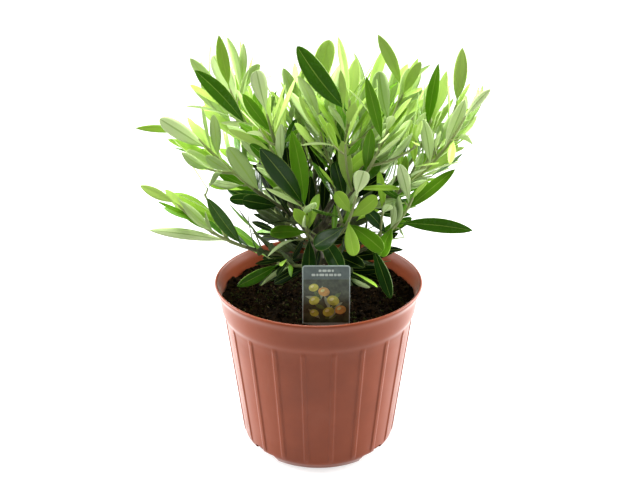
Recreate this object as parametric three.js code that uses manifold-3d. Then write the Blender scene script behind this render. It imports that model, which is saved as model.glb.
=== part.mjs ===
// Potted olive shrub: a ribbed plastic pot on three feet, filled with soil, with a plant label,
// a short trunk, boughs that leave it on all sides, and a mass of leafy twigs on each of them.
// Millimetres, +Z up, the front with the label towards -Y, the origin on the floor under the pot.

import * as THREE from "three";
import { mergeVertices } from "three/addons/utils/BufferGeometryUtils.js";
import Module from "manifold-3d";

// Driving dimensions
const GAP = 0.3; // clearance between pieces that meet
const POT = {
  facets: 40, // flat facets round the pot
  wall: 1.6, // thickness of the plastic
  footHeight: 7.5, // opening under the base between two feet
  floorTop: 9.5, // upper face of the pot's floor
  hubRadius: 13, // flat pad in the middle of the underside
  skirtInner: 57, // inner radius of the feet
  feet: 3,
  footGap: 46, // degrees of the ring that are open between two feet
  ribs: 20,
  ribWidth: 4,
  ribProud: 0.8,
  ribTop: 131,
  rimHeight: 162.5,
  ribFoot: 9, // where the ribs run out on the rounded corner
  cornerTop: 13, // where the rounded corner meets the straight wall
  shoulder: 129, // where the straight wall meets the collar's step
  drain: { width: 12, height: 3.6, reach: 24, z: 9.8, turns: [218, 322, 90] }, // slots over the gaps
};
// Radius and height of the pot's outside, from the floor up to the lip
const POT_OUTSIDE = [
  [62.6, 0],
  [64.8, 2.6],
  [66.8, 5],
  [68.7, 7.4],
  [69.7, 10.2],
  [70.1, POT.cornerTop],
  [85.7, 129],
  [86.6, 131.5],
  [89, 134],
  [91.5, 156],
  [93.6, 157.6],
  [95, 159.4],
  [95, 161.6],
  [94.1, POT.rimHeight],
];
const POT_LIP = Math.max(...POT_OUTSIDE.map(([radius]) => radius));
const SOIL = {
  top: 145.6, // height of the level patch round the trunk
  lump: 2.2, // how far the rest of the surface rises and falls
  rings: [14, 30, 45, 60, 74],
  facets: 30,
};
const LABEL = {
  width: 41.6,
  top: 207,
  thick: 0.8,
  corner: 2.6,
  centreX: 6.7,
  y: -66,
  shoulder: 151, // where the plate narrows to its stake
  stakeWidth: 13,
  stakePoint: 12, // length of the stake's point
  stakeTip: 112,
};
const TRUNK = {
  height: 69,
  radius: 6.2,
  tipRadius: 4.8,
  flare: 3.4, // extra radius at the soil
  flareHeight: 7,
  lean: 3, // degrees from upright at the fork
  turn: 200, // compass direction of the lean, 0 towards +X and 90 towards +Y
};
const LEAF = {
  length: 54,
  width: 0.29, // share of the length
  thick: 1,
  petiole: 0.4, // half thickness of the stalk
  spacing: 22, // between two pairs along a twig
  innerSpacing: 9, // the same on the twigs that leave the trunk itself
  spread: [54, 18], // degrees from the twig at its foot and at its tip
  guard: 2.2, // free room kept on each face of a blade
  edgeGuard: 1, // and past its edges
  bulge: 12, // how far a leaf may lean past the middle between two masses
  leadingSag: 0.04, // share of a leading leaf's length that its tip hangs down
  stations: [0, 0.48, 1], // shares of its length where its outline bends
  finest: 0.01, // edges shorter than this are closed up where leaves and twigs meet
};
const CROWN_SIDES = [-165, 154]; // how far leaves reach to the left and to the right
const ROOM = { limb: 1, twig: 4, otherTwig: 6, soil: 3, pot: 4, label: 4 }; // kept free round each

// Boughs. foot: distance along the trunk, or along the bough that carries it; turn: compass
// direction; lean: degrees from upright at the foot and at the tip; radius: there too.
const BOUGHS = [
  { name: "centre", foot: 67, turn: -30, lean: [8, 26], length: 36, radius: [3.2, 2.2] },
  { name: "left", foot: 57, turn: 180, lean: [34, 56], length: 40, radius: [3, 2] },
  { name: "right", foot: 57, turn: -5, lean: [44, 64], length: 44, radius: [3.2, 2] },
  { name: "upper_left", foot: 65, turn: 170, lean: [30, 38], length: 37, radius: [2.8, 1.9] },
  { name: "front_left", foot: 63, turn: 219, lean: [30, 28], length: 37, radius: [2.6, 1.8] },
  { name: "upper_right", foot: 64, turn: 15, lean: [14, 48], length: 42, radius: [2.8, 1.9] },
  { name: "front_right", foot: 60, turn: -34, lean: [30, 40], length: 40, radius: [2.6, 1.8] },
  { name: "low_left", foot: 39, turn: 194, lean: [80, 78], length: 34, radius: [2.8, 1.9] },
  { name: "low_right", foot: 35, turn: -20, lean: [80, 60], length: 34, radius: [2.8, 1.9] },
  { name: "back_left", foot: 54, turn: 142, lean: [44, 50], length: 33, radius: [2.8, 1.9] },
  { name: "back_right", foot: 53, turn: 45, lean: [40, 52], length: 34, radius: [2.8, 1.9] },
  { name: "back", foot: 61, turn: 94, lean: [32, 43], length: 32, radius: [2.8, 1.9] },
  { name: "back_centre", foot: 66, turn: 120, lean: [20, 20], length: 29, radius: [2.6, 1.8] },
  { name: "low_back_left", foot: 42, turn: 116, lean: [62, 65], length: 32, radius: [2.6, 1.8] },
  { name: "low_back_right", foot: 40, turn: 71, lean: [60, 66], length: 32, radius: [2.6, 1.8] },
  { name: "right_front", on: "right", foot: 34, turn: -16, lean: [56, 59], length: 25, radius: [2.2, 1.7] },
  { name: "right_back", on: "right", foot: 36, turn: 12, lean: [42, 58], length: 32, radius: [2.2, 1.7] },
];

// Foliage masses. Each grows on from the tip of the bough with its name, or from the trunk.
// length: of its stem; turn and lean: its stem's direction at the tip; twigs: side twigs;
// leaf: size of its leaves as a share of the usual one; droop: how far they hang;
// roll: how its leaf pairs are turned round the stem.
const MASSES = [
  { name: "inner_left", length: 68, turn: 276, lean: 6, twigs: 1, leaf: 1.1, droop: 0.05, roll: 10 },
  { name: "inner_front", length: 50, turn: 278, lean: 20, twigs: 1, leaf: 1, droop: 0.15, roll: 60 },
  { name: "inner_right", length: 90, turn: 310, lean: 12, twigs: 1, leaf: 0.95, droop: 0.05, roll: 45 },
  { name: "inner_low_left", length: 44, turn: 205, lean: 74, twigs: 0, leaf: 0.9, droop: 0.6, roll: 45 },
  { name: "inner_low_right", length: 40, turn: 320, lean: 74, twigs: 0, leaf: 0.9, droop: 0.6, roll: 45 },
  { name: "inner_back_left", length: 56, turn: 160, lean: 34, twigs: 1, leaf: 1, droop: 0.1, roll: 30 },
  { name: "inner_back_right", length: 54, turn: 22, lean: 38, twigs: 1, leaf: 1, droop: 0.1, roll: 30 },
  { name: "centre", length: 98, turn: 285, lean: 1, twigs: 2, leaf: 1.1, droop: -0.2, roll: 20 },
  { name: "left", length: 110, turn: 166, lean: 43, twigs: 2, leaf: 1, droop: -0.2, roll: 80 },
  { name: "right", length: 140, turn: 6, lean: 14, twigs: 2, leaf: 0.74, droop: -0.2, roll: 80 },
  { name: "upper_left", length: 115, turn: 166, lean: 22, twigs: 2, leaf: 1.05, droop: -0.2, roll: 10 },
  { name: "front_left", length: 105, turn: 240, lean: 20, twigs: 2, leaf: 1.05, droop: -0.2, roll: 60 },
  { name: "upper_right", length: 110, turn: 23, lean: 16, twigs: 2, leaf: 1, droop: -0.2, roll: 0 },
  { name: "front_right", length: 110, turn: 304, lean: 24, twigs: 2, leaf: 1, droop: -0.2, roll: 70 },
  { name: "low_left", length: 112, turn: 192, lean: 38, twigs: 1, leaf: 0.95, droop: 0, roll: 30 },
  { name: "low_right", length: 106, turn: 300, lean: 20, twigs: 1, leaf: 0.95, droop: 0, roll: 30 },
  { name: "back_left", length: 105, turn: 128, lean: 26, twigs: 2, leaf: 1, droop: -0.2, roll: 50 },
  { name: "back_right", length: 106, turn: 40, lean: 24, twigs: 2, leaf: 1, droop: -0.2, roll: 20 },
  { name: "back", length: 96, turn: 72, lean: 15, twigs: 2, leaf: 1, droop: -0.2, roll: 65 },
  { name: "back_centre", length: 90, turn: 120, lean: 9, twigs: 2, leaf: 1, droop: -0.2, roll: 35 },
  { name: "low_back_left", length: 88, turn: 100, lean: 32, twigs: 1, leaf: 0.95, droop: 0, roll: 5 },
  { name: "low_back_right", length: 88, turn: 76, lean: 32, twigs: 1, leaf: 0.95, droop: 0, roll: 75 },
  { name: "right_front", length: 126, turn: 350, lean: 24, twigs: 1, leaf: 0.95, droop: -0.2, roll: 55 },
  { name: "right_back", length: 108, turn: 0, lean: 2, twigs: 1, leaf: 0.95, droop: -0.2, roll: 15 },
];
// Stems that leave the trunk itself: the foot's distance up the trunk, and the direction there
const TRUNK_STEMS = {
  inner_left: { foot: 52, turn: 250, lean: 64 },
  inner_front: { foot: 46, turn: 272, lean: 70 },
  inner_right: { foot: 50, turn: 307, lean: 66 },
  inner_low_left: { foot: 30, turn: 212, lean: 76 },
  inner_low_right: { foot: 27, turn: 318, lean: 78 },
  inner_back_left: { foot: 46, turn: 156, lean: 68 },
  inner_back_right: { foot: 44, turn: 24, lean: 70 },
};
// Leaves that lead the look of a shoot: the share of its length at their foot, turn and lean,
// length and width. They show their upper side in front, or their underside where under is true.
const LEADING = [
  { on: "centre", share: 0.87, turn: 188, lean: 36, length: 75, width: 19 },
  { on: "left", share: 1, turn: 180, lean: 86, length: 50, width: 7 },
  { on: "left", share: 0.8, turn: 182, lean: 55, length: 52, width: 15, under: true },
  { on: "left", share: 0.25, turn: 184, lean: 32, length: 54, width: 16, under: true },
  { on: "left", share: 0.7, turn: 190, lean: 4, length: 42, width: 10, under: true },
  { on: "left", share: 0.2, turn: 198, lean: 76, length: 44, width: 13 },
  { on: "left", share: 0.06, turn: 208, lean: 70, length: 38, width: 14 },
  { on: "upper_left", share: 0.66, turn: 184, lean: 40, length: 70, width: 15 },
  { on: "upper_left", share: 0.86, turn: 140, lean: 34, length: 48, width: 15, under: true },
  { on: "upper_left", share: 1, turn: 170, lean: 10, length: 48, width: 11 },
  { on: "front_left", share: 0.8, turn: 200, lean: 34, length: 45, width: 11 },
  { on: "front_left", share: 1, turn: 190, lean: 12, length: 40, width: 14, under: true },
  { on: "back", share: 1, turn: 20, lean: 12, length: 54, width: 18 },
  { on: "inner_left", share: 0.97, turn: 200, lean: 34, length: 70, width: 19 },
  { on: "inner_left", share: 0.9, turn: 138, lean: 12, length: 72, width: 15 },
  { on: "inner_left", share: 0.5, turn: 190, lean: 86, length: 34, width: 12 },
  { on: "inner_left", share: 0.4, turn: 268, lean: 140, length: 36, width: 13 },
  { on: "inner_right", share: 0.6, turn: 230, lean: 96, length: 42, width: 16 },
  { on: "inner_front", share: 0.9, turn: 302, lean: 122, length: 42, width: 15 },
  { on: "inner_right", share: 0.64, turn: 335, lean: 120, length: 40, width: 15 },
  { on: "inner_right", share: 0.68, turn: 275, lean: 140, length: 36, width: 14 },
  { on: "inner_right", share: 0.72, turn: 348, lean: 48, length: 32, width: 13 },
  { on: "inner_right", share: 0.78, turn: 200, lean: 34, length: 26, width: 12 },
  { on: "inner_right", share: 1, turn: 0, lean: 16, length: 24, width: 14, under: true },
  { on: "front_right", share: 0.1, turn: 190, lean: 14, length: 38, width: 14 },
  { on: "front_right", share: 0.2, turn: 196, lean: 10, length: 50, width: 12 },
  { on: "front_right", share: 0.3, turn: 350, lean: 38, length: 30, width: 14 },
  { on: "front_right", share: 0.45, turn: 310, lean: 8, length: 42, width: 11 },
  { on: "front_right", share: 0.8, turn: 188, lean: 14, length: 60, width: 11 },
  { on: "upper_right", share: 0.7, turn: 176, lean: 12, length: 50, width: 15, under: true },
  { on: "upper_right", share: 1, turn: 180, lean: 24, length: 54, width: 11 },
  { on: "right_back", share: 0.7, turn: 4, lean: 14, length: 66, width: 12 },
  { on: "right", share: 1, turn: 0, lean: 4, length: 50, width: 12 },
  { on: "right_front", share: 0.56, turn: 190, lean: 10, length: 44, width: 11, under: true },
  { on: "right_front", share: 0.72, turn: 0, lean: 20, length: 48, width: 12, under: true },
  { on: "right_front", share: 1, turn: 0, lean: 40, length: 32, width: 8, under: true },
  { on: "low_right", share: 0.55, turn: 0, lean: 96, length: 68, width: 13 },
  { on: "low_right", share: 0.7, turn: 355, lean: 46, length: 58, width: 11 },
  { on: "low_right", share: 0.5, turn: 240, lean: 130, length: 30, width: 13 },
  { on: "low_right", share: 0.4, turn: 184, lean: 44, length: 32, width: 13 },
  { on: "low_right", share: 0.78, turn: 184, lean: 20, length: 44, width: 12, under: true },
  { on: "low_right", share: 0.22, turn: 300, lean: 140, length: 52, width: 12 },
  { on: "low_left", share: 0.44, turn: 183, lean: 80, length: 74, width: 10, under: true },
  { on: "low_left", share: 0.34, turn: 188, lean: 38, length: 62, width: 14 },
  { on: "low_left", share: 1, turn: 184, lean: 60, length: 36, width: 9 },
  { on: "inner_low_left", share: 0.95, turn: 195, lean: 114, length: 42, width: 11 },
];
const FRONT = { turn: 270, lean: 66 }; // from where the label's side is looked at
const STEM = { radius: 2.3, tipRadius: 1.5, steps: 5 };
const SIDE_TWIG = {
  radius: 1.9,
  tipRadius: 1.3,
  steps: 3,
  share: 0.5, // of its stem's length
  between: [0.18, 0.68], // shares of the stem where side twigs leave it
  spread: 46, // degrees from the stem
  lift: 0.55, // how far it turns back up along the stem
};
// Share of a twig before its first pair of leaves
const FIRST_LEAF = { stem: 0.08, trunkStem: 0.3, side: 0.25 };
const LAST_LEAF = 0.985;
const GOLDEN_TURN = 137.5; // degrees round the stem from one side twig to the next

// Solids
const wasm = await Module();
wasm.setup();

// A closed three.js geometry as a solid whose faces point out.
function solid(geometry) {
  const bare = geometry.clone();
  bare.deleteAttribute("normal");
  bare.deleteAttribute("uv");
  const merged = mergeVertices(bare, 1e-5);
  const place = merged.attributes.position.array;
  const corners = [];
  let volume = 0;
  for (let i = 0; i < merged.index.count; i += 3) {
    const [a, b, c] = [0, 1, 2].map((k) => merged.index.getX(i + k));
    if (a === b || b === c || c === a) continue;
    const [p, q, r] = [a, b, c].map((k) => new THREE.Vector3().fromArray(place, 3 * k));
    volume += p.dot(q.cross(r));
    corners.push(a, b, c);
  }
  if (volume < 0) corners.reverse();
  const mesh = new wasm.Mesh({
    numProp: 3,
    vertProperties: new Float32Array(place),
    triVerts: new Uint32Array(corners),
  });
  return new wasm.Manifold(mesh);
}

// The largest body of a solid: loose scraps go, and a sealed hollow is filled.
function mainBody(shape) {
  const bodies = shape.decompose();
  return bodies.reduce((best, body) => (body.volume() > best.volume() ? body : best));
}

function geometryOf(shape) {
  const { vertProperties, triVerts } = shape.getMesh();
  const geometry = new THREE.BufferGeometry();
  geometry.setAttribute("position", new THREE.BufferAttribute(vertProperties, 3));
  geometry.setIndex(new THREE.BufferAttribute(triVerts, 1));
  geometry.computeVertexNormals();
  return geometry;
}

// Directions and chance
const UP = new THREE.Vector3(0, 0, 1);
const degrees = THREE.MathUtils.degToRad;

function direction(turn, lean) {
  const out = Math.sin(degrees(lean));
  return new THREE.Vector3(
    out * Math.cos(degrees(turn)),
    out * Math.sin(degrees(turn)),
    Math.cos(degrees(lean)),
  );
}

// A repeatable number from 0 to 1 for each set of whole-number keys.
function dice(...keys) {
  let hash = 0x811c9dc5;
  for (const key of keys) {
    hash = Math.imul(hash ^ (key + 101), 0x01000193);
    hash = Math.imul(hash ^ (hash >>> 15), 0x85ebca6b);
    hash ^= hash >>> 13;
  }
  hash = Math.imul(hash, 0xc2b2ae35);
  return ((hash ^ (hash >>> 16)) >>> 0) / 4294967296;
}

const around = (middle, spread, ...keys) => middle + spread * (2 * dice(...keys) - 1);

// Limbs: an axis of points whose direction turns evenly from one heading to another.
function growAxis(start, from, to, length, steps) {
  const points = [start.clone()];
  const headings = [from.clone()];
  for (let i = 1; i <= steps; i += 1) {
    const middle = from.clone().lerp(to, (i - 0.5) / steps).normalize();
    points.push(points[i - 1].clone().addScaledVector(middle, length / steps));
    headings.push(from.clone().lerp(to, i / steps).normalize());
  }
  return { points, headings, length, steps };
}

function pointAlong(axis, distance) {
  const place = THREE.MathUtils.clamp(distance / axis.length, 0, 1) * axis.steps;
  const step = Math.min(Math.floor(place), axis.steps - 1);
  return axis.points[step].clone().lerp(axis.points[step + 1], place - step);
}

function headingAlong(axis, distance) {
  const place = THREE.MathUtils.clamp(distance / axis.length, 0, 1) * axis.steps;
  const step = Math.min(Math.floor(place), axis.steps - 1);
  return axis.headings[step].clone().lerp(axis.headings[step + 1], place - step).normalize();
}

// A cylinder whose points are put in place by a function of their level and place in the section.
function bentCylinder(sides, levels, place) {
  const geometry = new THREE.CylinderGeometry(1, 1, 1, sides, levels);
  const points = geometry.attributes.position;
  for (let i = 0; i < points.count; i += 1) {
    const level = Math.round((points.getY(i) + 0.5) * levels);
    const spot = place(level, points.getX(i), points.getZ(i));
    points.setXYZ(i, spot.x, spot.y, spot.z);
  }
  return geometry;
}

function limbGeometry(axis, radiusAt, sides) {
  const alongX = Math.abs(axis.headings[0].x) > 0.7;
  const across = new THREE.Vector3(alongX ? 0 : 1, alongX ? 1 : 0, 0);
  return bentCylinder(sides, axis.steps, (level, x, z) => {
    const side = across.clone().cross(axis.headings[level]).normalize();
    const front = side.clone().cross(axis.headings[level]);
    const radius = radiusAt(level / axis.steps);
    const point = axis.points[level].clone();
    return point.addScaledVector(side, x * radius).addScaledVector(front, z * radius);
  });
}

const evenTaper = (foot, tip, more = 0) => (share) => foot + (tip - foot) * share + more;

function distanceToAxis(point, axis) {
  let nearest = Infinity;
  const line = new THREE.Line3();
  const spot = new THREE.Vector3();
  for (let i = 0; i < axis.steps; i += 1) {
    line.set(axis.points[i], axis.points[i + 1]).closestPointToPoint(point, true, spot);
    nearest = Math.min(nearest, spot.distanceTo(point));
  }
  return nearest;
}

// Leaf blades
// Half width of a blade at a share of its length, as a share of the greatest.
const outline = (share) => Math.sin(Math.PI * (0.06 + 0.9 * Math.min(share, 1))) ** 0.75;

function bladePoint(leaf, share, across) {
  const half = 0.5 * leaf.width * outline(share);
  return leaf.root.clone()
    .addScaledVector(leaf.along, share * leaf.length)
    .addScaledVector(leaf.side, across * half)
    .addScaledVector(leaf.face, -leaf.sag * share * share);
}

// A three-sided blade, flat above and keeled below, from its stalk to its tip.
function leafGeometry(leaf) {
  const last = LEAF.stations.length - 1;
  return bentCylinder(3, last, (level, x, z) => {
    const share = LEAF.stations[level];
    const half = level === 0 ? LEAF.petiole : 0.5 * leaf.width * outline(share);
    const thick = level === 0 ? 2 * LEAF.petiole : LEAF.thick;
    const open = level === last ? 0 : 1;
    return bladePoint(leaf, share, 0)
      .addScaledVector(leaf.side, (open * x * half) / Math.sin(Math.PI / 3))
      .addScaledVector(leaf.face, (-open * z * thick) / 1.5);
  });
}

function bladeSamples(leaf, from = 0.2) {
  const count = Math.ceil((leaf.length * (1 - from)) / 4);
  const samples = [];
  for (let i = 0; i <= count; i += 1) {
    const share = from + ((1 - from) * i) / count;
    for (const across of [-1, 0, 1]) samples.push(bladePoint(leaf, share, across));
  }
  return samples;
}

// True where a point is on a blade or within its guard.
function onBlade(point, leaf) {
  const offset = point.clone().sub(leaf.root);
  const share = offset.dot(leaf.along) / leaf.length;
  if (share < 0.05 || share > 1.04) return false; // the stalk, and past the tip
  if (Math.abs(offset.dot(leaf.face) + leaf.sag * share * share) > LEAF.guard) return false;
  return Math.abs(offset.dot(leaf.side)) < 0.5 * leaf.width * outline(share) + LEAF.edgeGuard;
}

function bladesTouch(one, other) {
  const reach = (one.length + other.length) / 2 + LEAF.guard + LEAF.edgeGuard;
  if (one.centre.distanceTo(other.centre) > reach) return false;
  if (one.samples.some((point) => onBlade(point, other))) return true;
  return other.samples.some((point) => onBlade(point, one));
}

// True where a point is in or close to the pot's wall, the soil or the label.
function inPot(point) {
  const outFromAxis = Math.hypot(point.x, point.y);
  const inMouth = outFromAxis < potRadius(SOIL.top) - 2 * ROOM.pot;
  const overSoil = point.z > SOIL.top + SOIL.lump + ROOM.soil;
  const low = point.z < POT.rimHeight + ROOM.pot && outFromAxis < POT_LIP + ROOM.pot;
  if (low && !(inMouth && overSoil)) return true;
  const besideLabel = Math.abs(point.x - LABEL.centreX) < LABEL.width / 2 + ROOM.label;
  return besideLabel && Math.abs(point.y - LABEL.y) < ROOM.label && point.z < LABEL.top + ROOM.label;
}

// Pot
function turned(profile, facets) {
  const geometry = new THREE.LatheGeometry(profile.map(([r, z]) => new THREE.Vector2(r, z)), facets);
  return solid(geometry.rotateX(Math.PI / 2));
}

function potRadius(height, inset = 0) {
  const above = Math.max(1, POT_OUTSIDE.findIndex(([, z]) => z >= height));
  const [r1, z1] = POT_OUTSIDE[above];
  const [r0, z0] = POT_OUTSIDE[above - 1];
  return r0 + ((r1 - r0) * (height - z0)) / (z1 - z0) - inset;
}

// The inside follows the outside at the wall's thickness, up from the floor to under the lip.
function potInside(clearance) {
  const inset = POT.wall + clearance;
  return [
    [0, POT.floorTop + clearance],
    [potRadius(POT.ribFoot, inset + 1.5), POT.floorTop + clearance],
    [potRadius(POT.cornerTop - 1, inset), POT.cornerTop - 1],
    [potRadius(POT.shoulder, inset), POT.shoulder + 1],
    [potRadius(POT.shoulder + 5, inset), POT.shoulder + 6],
    [potRadius(156, inset), 157],
  ];
}

function ribSolid(index) {
  const foot = POT.ribFoot;
  const proud = (height) => new THREE.Vector2(potRadius(height) + POT.ribProud, height);
  const shape = new THREE.Shape([
    new THREE.Vector2(potRadius(foot) - 1, foot - 2),
    new THREE.Vector2(potRadius(foot) + 0.2, foot),
    proud(POT.cornerTop + 1),
    proud(POT.ribTop - 3),
    new THREE.Vector2(potRadius(POT.ribTop) - 0.6, POT.ribTop + 0.5),
    new THREE.Vector2(potRadius(POT.ribTop - 4) - 1, POT.ribTop - 4),
    new THREE.Vector2(potRadius(POT.cornerTop + 2) - 1, POT.cornerTop + 2),
  ]);
  const bar = new THREE.ExtrudeGeometry(shape, { depth: POT.ribWidth, bevelEnabled: false });
  bar.translate(0, 0, -POT.ribWidth / 2).rotateX(Math.PI / 2);
  return solid(bar.rotateZ(degrees((360 / POT.ribs) * (index + 0.5) + 90)));
}

// A wedge of a ring round the pot's axis, from below the floor up to the given height.
function wedgeSolid(centre, width, inner, outer, top) {
  const half = degrees(width / 2);
  const shape = new THREE.Shape();
  shape.absarc(0, 0, outer, -half, half, false);
  shape.absarc(0, 0, inner, half, -half, true);
  const cut = { depth: top + 1, bevelEnabled: false, curveSegments: 8 };
  const slab = new THREE.ExtrudeGeometry(shape, cut).translate(0, 0, -1);
  return solid(slab.rotateZ(degrees(centre)));
}

function drainSolid(centre) {
  const { width, height, reach, z } = POT.drain;
  const slot = new THREE.BoxGeometry(reach, width, height);
  return solid(slot.translate(potRadius(z) + 2, 0, z).rotateZ(degrees(centre)));
}

function potSolid() {
  const above = POT.rimHeight + 1;
  const mouth = [[POT_LIP - 1.5 * POT.wall, above], [0, above]];
  const underside = [
    [POT.hubRadius, -1],
    [POT.skirtInner, -1],
    [POT.skirtInner, POT.footHeight],
    [POT.hubRadius, POT.footHeight],
    [POT.hubRadius, -1],
  ];
  let pot = turned([[0, 0], ...POT_OUTSIDE, [0, POT.rimHeight]], POT.facets);
  pot = pot.subtract(turned([...potInside(0), ...mouth], POT.facets));
  pot = pot.subtract(turned(underside, POT.facets));
  for (let i = 0; i < POT.ribs; i += 1) pot = pot.add(ribSolid(i));
  for (let i = 0; i < POT.feet; i += 1) {
    const centre = -90 + (360 / POT.feet) * (i + 0.5);
    pot = pot.subtract(wedgeSolid(centre, POT.footGap, POT.skirtInner - 7, POT_LIP, POT.footHeight));
  }
  for (const turn of POT.drain.turns) pot = pot.subtract(drainSolid(turn));
  return mainBody(pot);
}

// Soil
function soilHeight(x, y) {
  const outFromAxis = Math.hypot(x, y);
  const rise = THREE.MathUtils.smoothstep(outFromAxis, SOIL.rings[0] + 1, SOIL.rings[1]);
  const broad = Math.sin(0.11 * x + 1.3) * Math.cos(0.09 * y);
  const fine = Math.sin(0.19 * y + 0.13 * x);
  return SOIL.top + rise * SOIL.lump * (0.6 * broad + 0.4 * fine);
}

function soilSolid() {
  const edge = potInside(GAP + 0.05).filter(([, z]) => z < SOIL.top);
  const rim = [potRadius(SOIL.top, POT.wall + 2 * GAP), SOIL.top];
  const surface = [...SOIL.rings].reverse().map((r) => [r, SOIL.top]);
  const profile = [...edge, rim, ...surface, [0, SOIL.top]].map(([r, z]) => new THREE.Vector2(r, z));
  const geometry = new THREE.LatheGeometry(profile, SOIL.facets).rotateX(Math.PI / 2);
  const points = geometry.attributes.position;
  for (let i = 0; i < points.count; i += 1) {
    if (points.getZ(i) < SOIL.top - 1) continue;
    points.setZ(i, soilHeight(points.getX(i), points.getY(i)));
  }
  return solid(geometry).subtract(solid(labelGeometry(GAP)));
}

// Label: a plate with round upper corners that narrows to a pointed stake.
function labelGeometry(more = 0) {
  const half = LABEL.width / 2 + more;
  const stake = LABEL.stakeWidth / 2 + more;
  const top = LABEL.top + more;
  const shape = new THREE.Shape();
  shape.moveTo(0, LABEL.stakeTip - more);
  shape.lineTo(stake, LABEL.stakeTip + LABEL.stakePoint - more);
  shape.lineTo(stake, LABEL.shoulder - more);
  shape.lineTo(half, LABEL.shoulder - more);
  shape.lineTo(half, top - LABEL.corner);
  shape.absarc(half - LABEL.corner, top - LABEL.corner, LABEL.corner, 0, Math.PI / 2, false);
  shape.absarc(LABEL.corner - half, top - LABEL.corner, LABEL.corner, Math.PI / 2, Math.PI, false);
  shape.lineTo(-half, LABEL.shoulder - more);
  shape.lineTo(-stake, LABEL.shoulder - more);
  shape.lineTo(-stake, LABEL.stakeTip + LABEL.stakePoint - more);
  const thick = LABEL.thick + 2 * more;
  const cut = { depth: thick, bevelEnabled: false, curveSegments: 4 };
  const plate = new THREE.ExtrudeGeometry(shape, cut);
  plate.translate(0, 0, -thick / 2).rotateX(Math.PI / 2);
  return plate.translate(LABEL.centreX, LABEL.y, 0);
}

// Trunk and boughs
const trunkAxis = growAxis(
  new THREE.Vector3(0, 0, SOIL.top + GAP),
  UP,
  direction(TRUNK.turn, TRUNK.lean),
  TRUNK.height,
  8,
);

function trunkRadius(share, more = 0) {
  const flare = TRUNK.flare * Math.exp((-share * TRUNK.height) / TRUNK.flareHeight);
  return evenTaper(TRUNK.radius, TRUNK.tipRadius, more)(share) + flare;
}

function makeLimbs() {
  const limbs = { trunk: { axis: trunkAxis, radiusAt: trunkRadius, sides: 10, node: "trunk" } };
  for (const bough of BOUGHS) {
    const start = pointAlong(limbs[bough.on ?? "trunk"].axis, bough.foot);
    const headings = bough.lean.map((lean) => direction(bough.turn, lean));
    limbs[bough.name] = {
      axis: growAxis(start, headings[0], headings[1], bough.length, 3),
      radiusAt: (share, more = 0) => evenTaper(bough.radius[0], bough.radius[1], more)(share),
      sides: 5,
      node: `bough_${bough.name}`,
    };
  }
  return limbs;
}

// Each limb is cut clear of the ones that were there before it.
function limbSolids(limbs) {
  const solids = [];
  const taken = [];
  for (const limb of Object.values(limbs)) {
    let shape = solid(limbGeometry(limb.axis, limb.radiusAt, limb.sides));
    for (const earlier of taken) shape = shape.subtract(earlier);
    solids.push({ name: limb.node, shape: mainBody(shape) });
    taken.push(solid(limbGeometry(limb.axis, (share) => limb.radiusAt(share, GAP), limb.sides)));
  }
  return { solids, rooms: taken };
}

// Twigs of every mass: its stem, then side twigs that branch from it by the seeded rule.
function stemAxis(mass, limbs) {
  const target = direction(mass.turn, mass.lean);
  const onTrunk = TRUNK_STEMS[mass.name];
  if (onTrunk) {
    const start = pointAlong(limbs.trunk.axis, onTrunk.foot);
    return growAxis(start, direction(onTrunk.turn, onTrunk.lean), target, mass.length, STEM.steps);
  }
  const { points, headings, steps } = limbs[mass.name].axis;
  const start = points[steps].clone().addScaledVector(headings[steps], GAP);
  return growAxis(start, headings[steps], target, mass.length, STEM.steps);
}

function twigAxis(stem, mass, index, key) {
  const [lowest, highest] = SIDE_TWIG.between;
  const share = lowest + ((highest - lowest) * (index + dice(key, index, 1))) / mass.twigs;
  const heading = headingAlong(stem, share * stem.length);
  const side = heading.clone().cross(UP).normalize();
  side.applyAxisAngle(heading, degrees(mass.roll + GOLDEN_TURN * index + around(0, 25, key, index, 2)));
  const spread = around(SIDE_TWIG.spread, 6, key, index, 3);
  const from = heading.clone().applyAxisAngle(side, degrees(spread));
  const to = from.clone().lerp(heading.clone().add(UP).normalize(), SIDE_TWIG.lift).normalize();
  const length = stem.length * SIDE_TWIG.share * around(1, 0.15, key, index, 4);
  return growAxis(pointAlong(stem, share * stem.length), from, to, length, SIDE_TWIG.steps);
}

function freeOfLimbs(point, limbs, room) {
  return Object.values(limbs).every(({ axis, radiusAt }) => {
    return distanceToAxis(point, axis) > radiusAt(0.3) + room;
  });
}

function nearest(point, twigs) {
  return Math.min(...twigs.map((twig) => distanceToAxis(point, twig.axis)));
}

function growTwigs(limbs) {
  const grown = MASSES.map((mass, key) => {
    const stem = { axis: stemAxis(mass, limbs), radius: STEM.radius, tipRadius: STEM.tipRadius };
    return { mass, key, twigs: [stem], leaves: [] };
  });
  for (const { mass, key, twigs } of grown) {
    for (let index = 0; index < mass.twigs; index += 1) {
      const axis = twigAxis(twigs[0].axis, mass, index, key);
      const outer = axis.points.slice(1);
      const others = grown.filter((other) => other.key !== key).flatMap((other) => other.twigs);
      const clear = outer.every((point) => nearest(point, others) > ROOM.otherTwig);
      if (clear && outer.every((point) => freeOfLimbs(point, limbs, ROOM.twig) && !inPot(point))) {
        twigs.push({ axis, radius: SIDE_TWIG.radius, tipRadius: SIDE_TWIG.tipRadius });
      }
    }
  }
  return grown;
}

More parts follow.
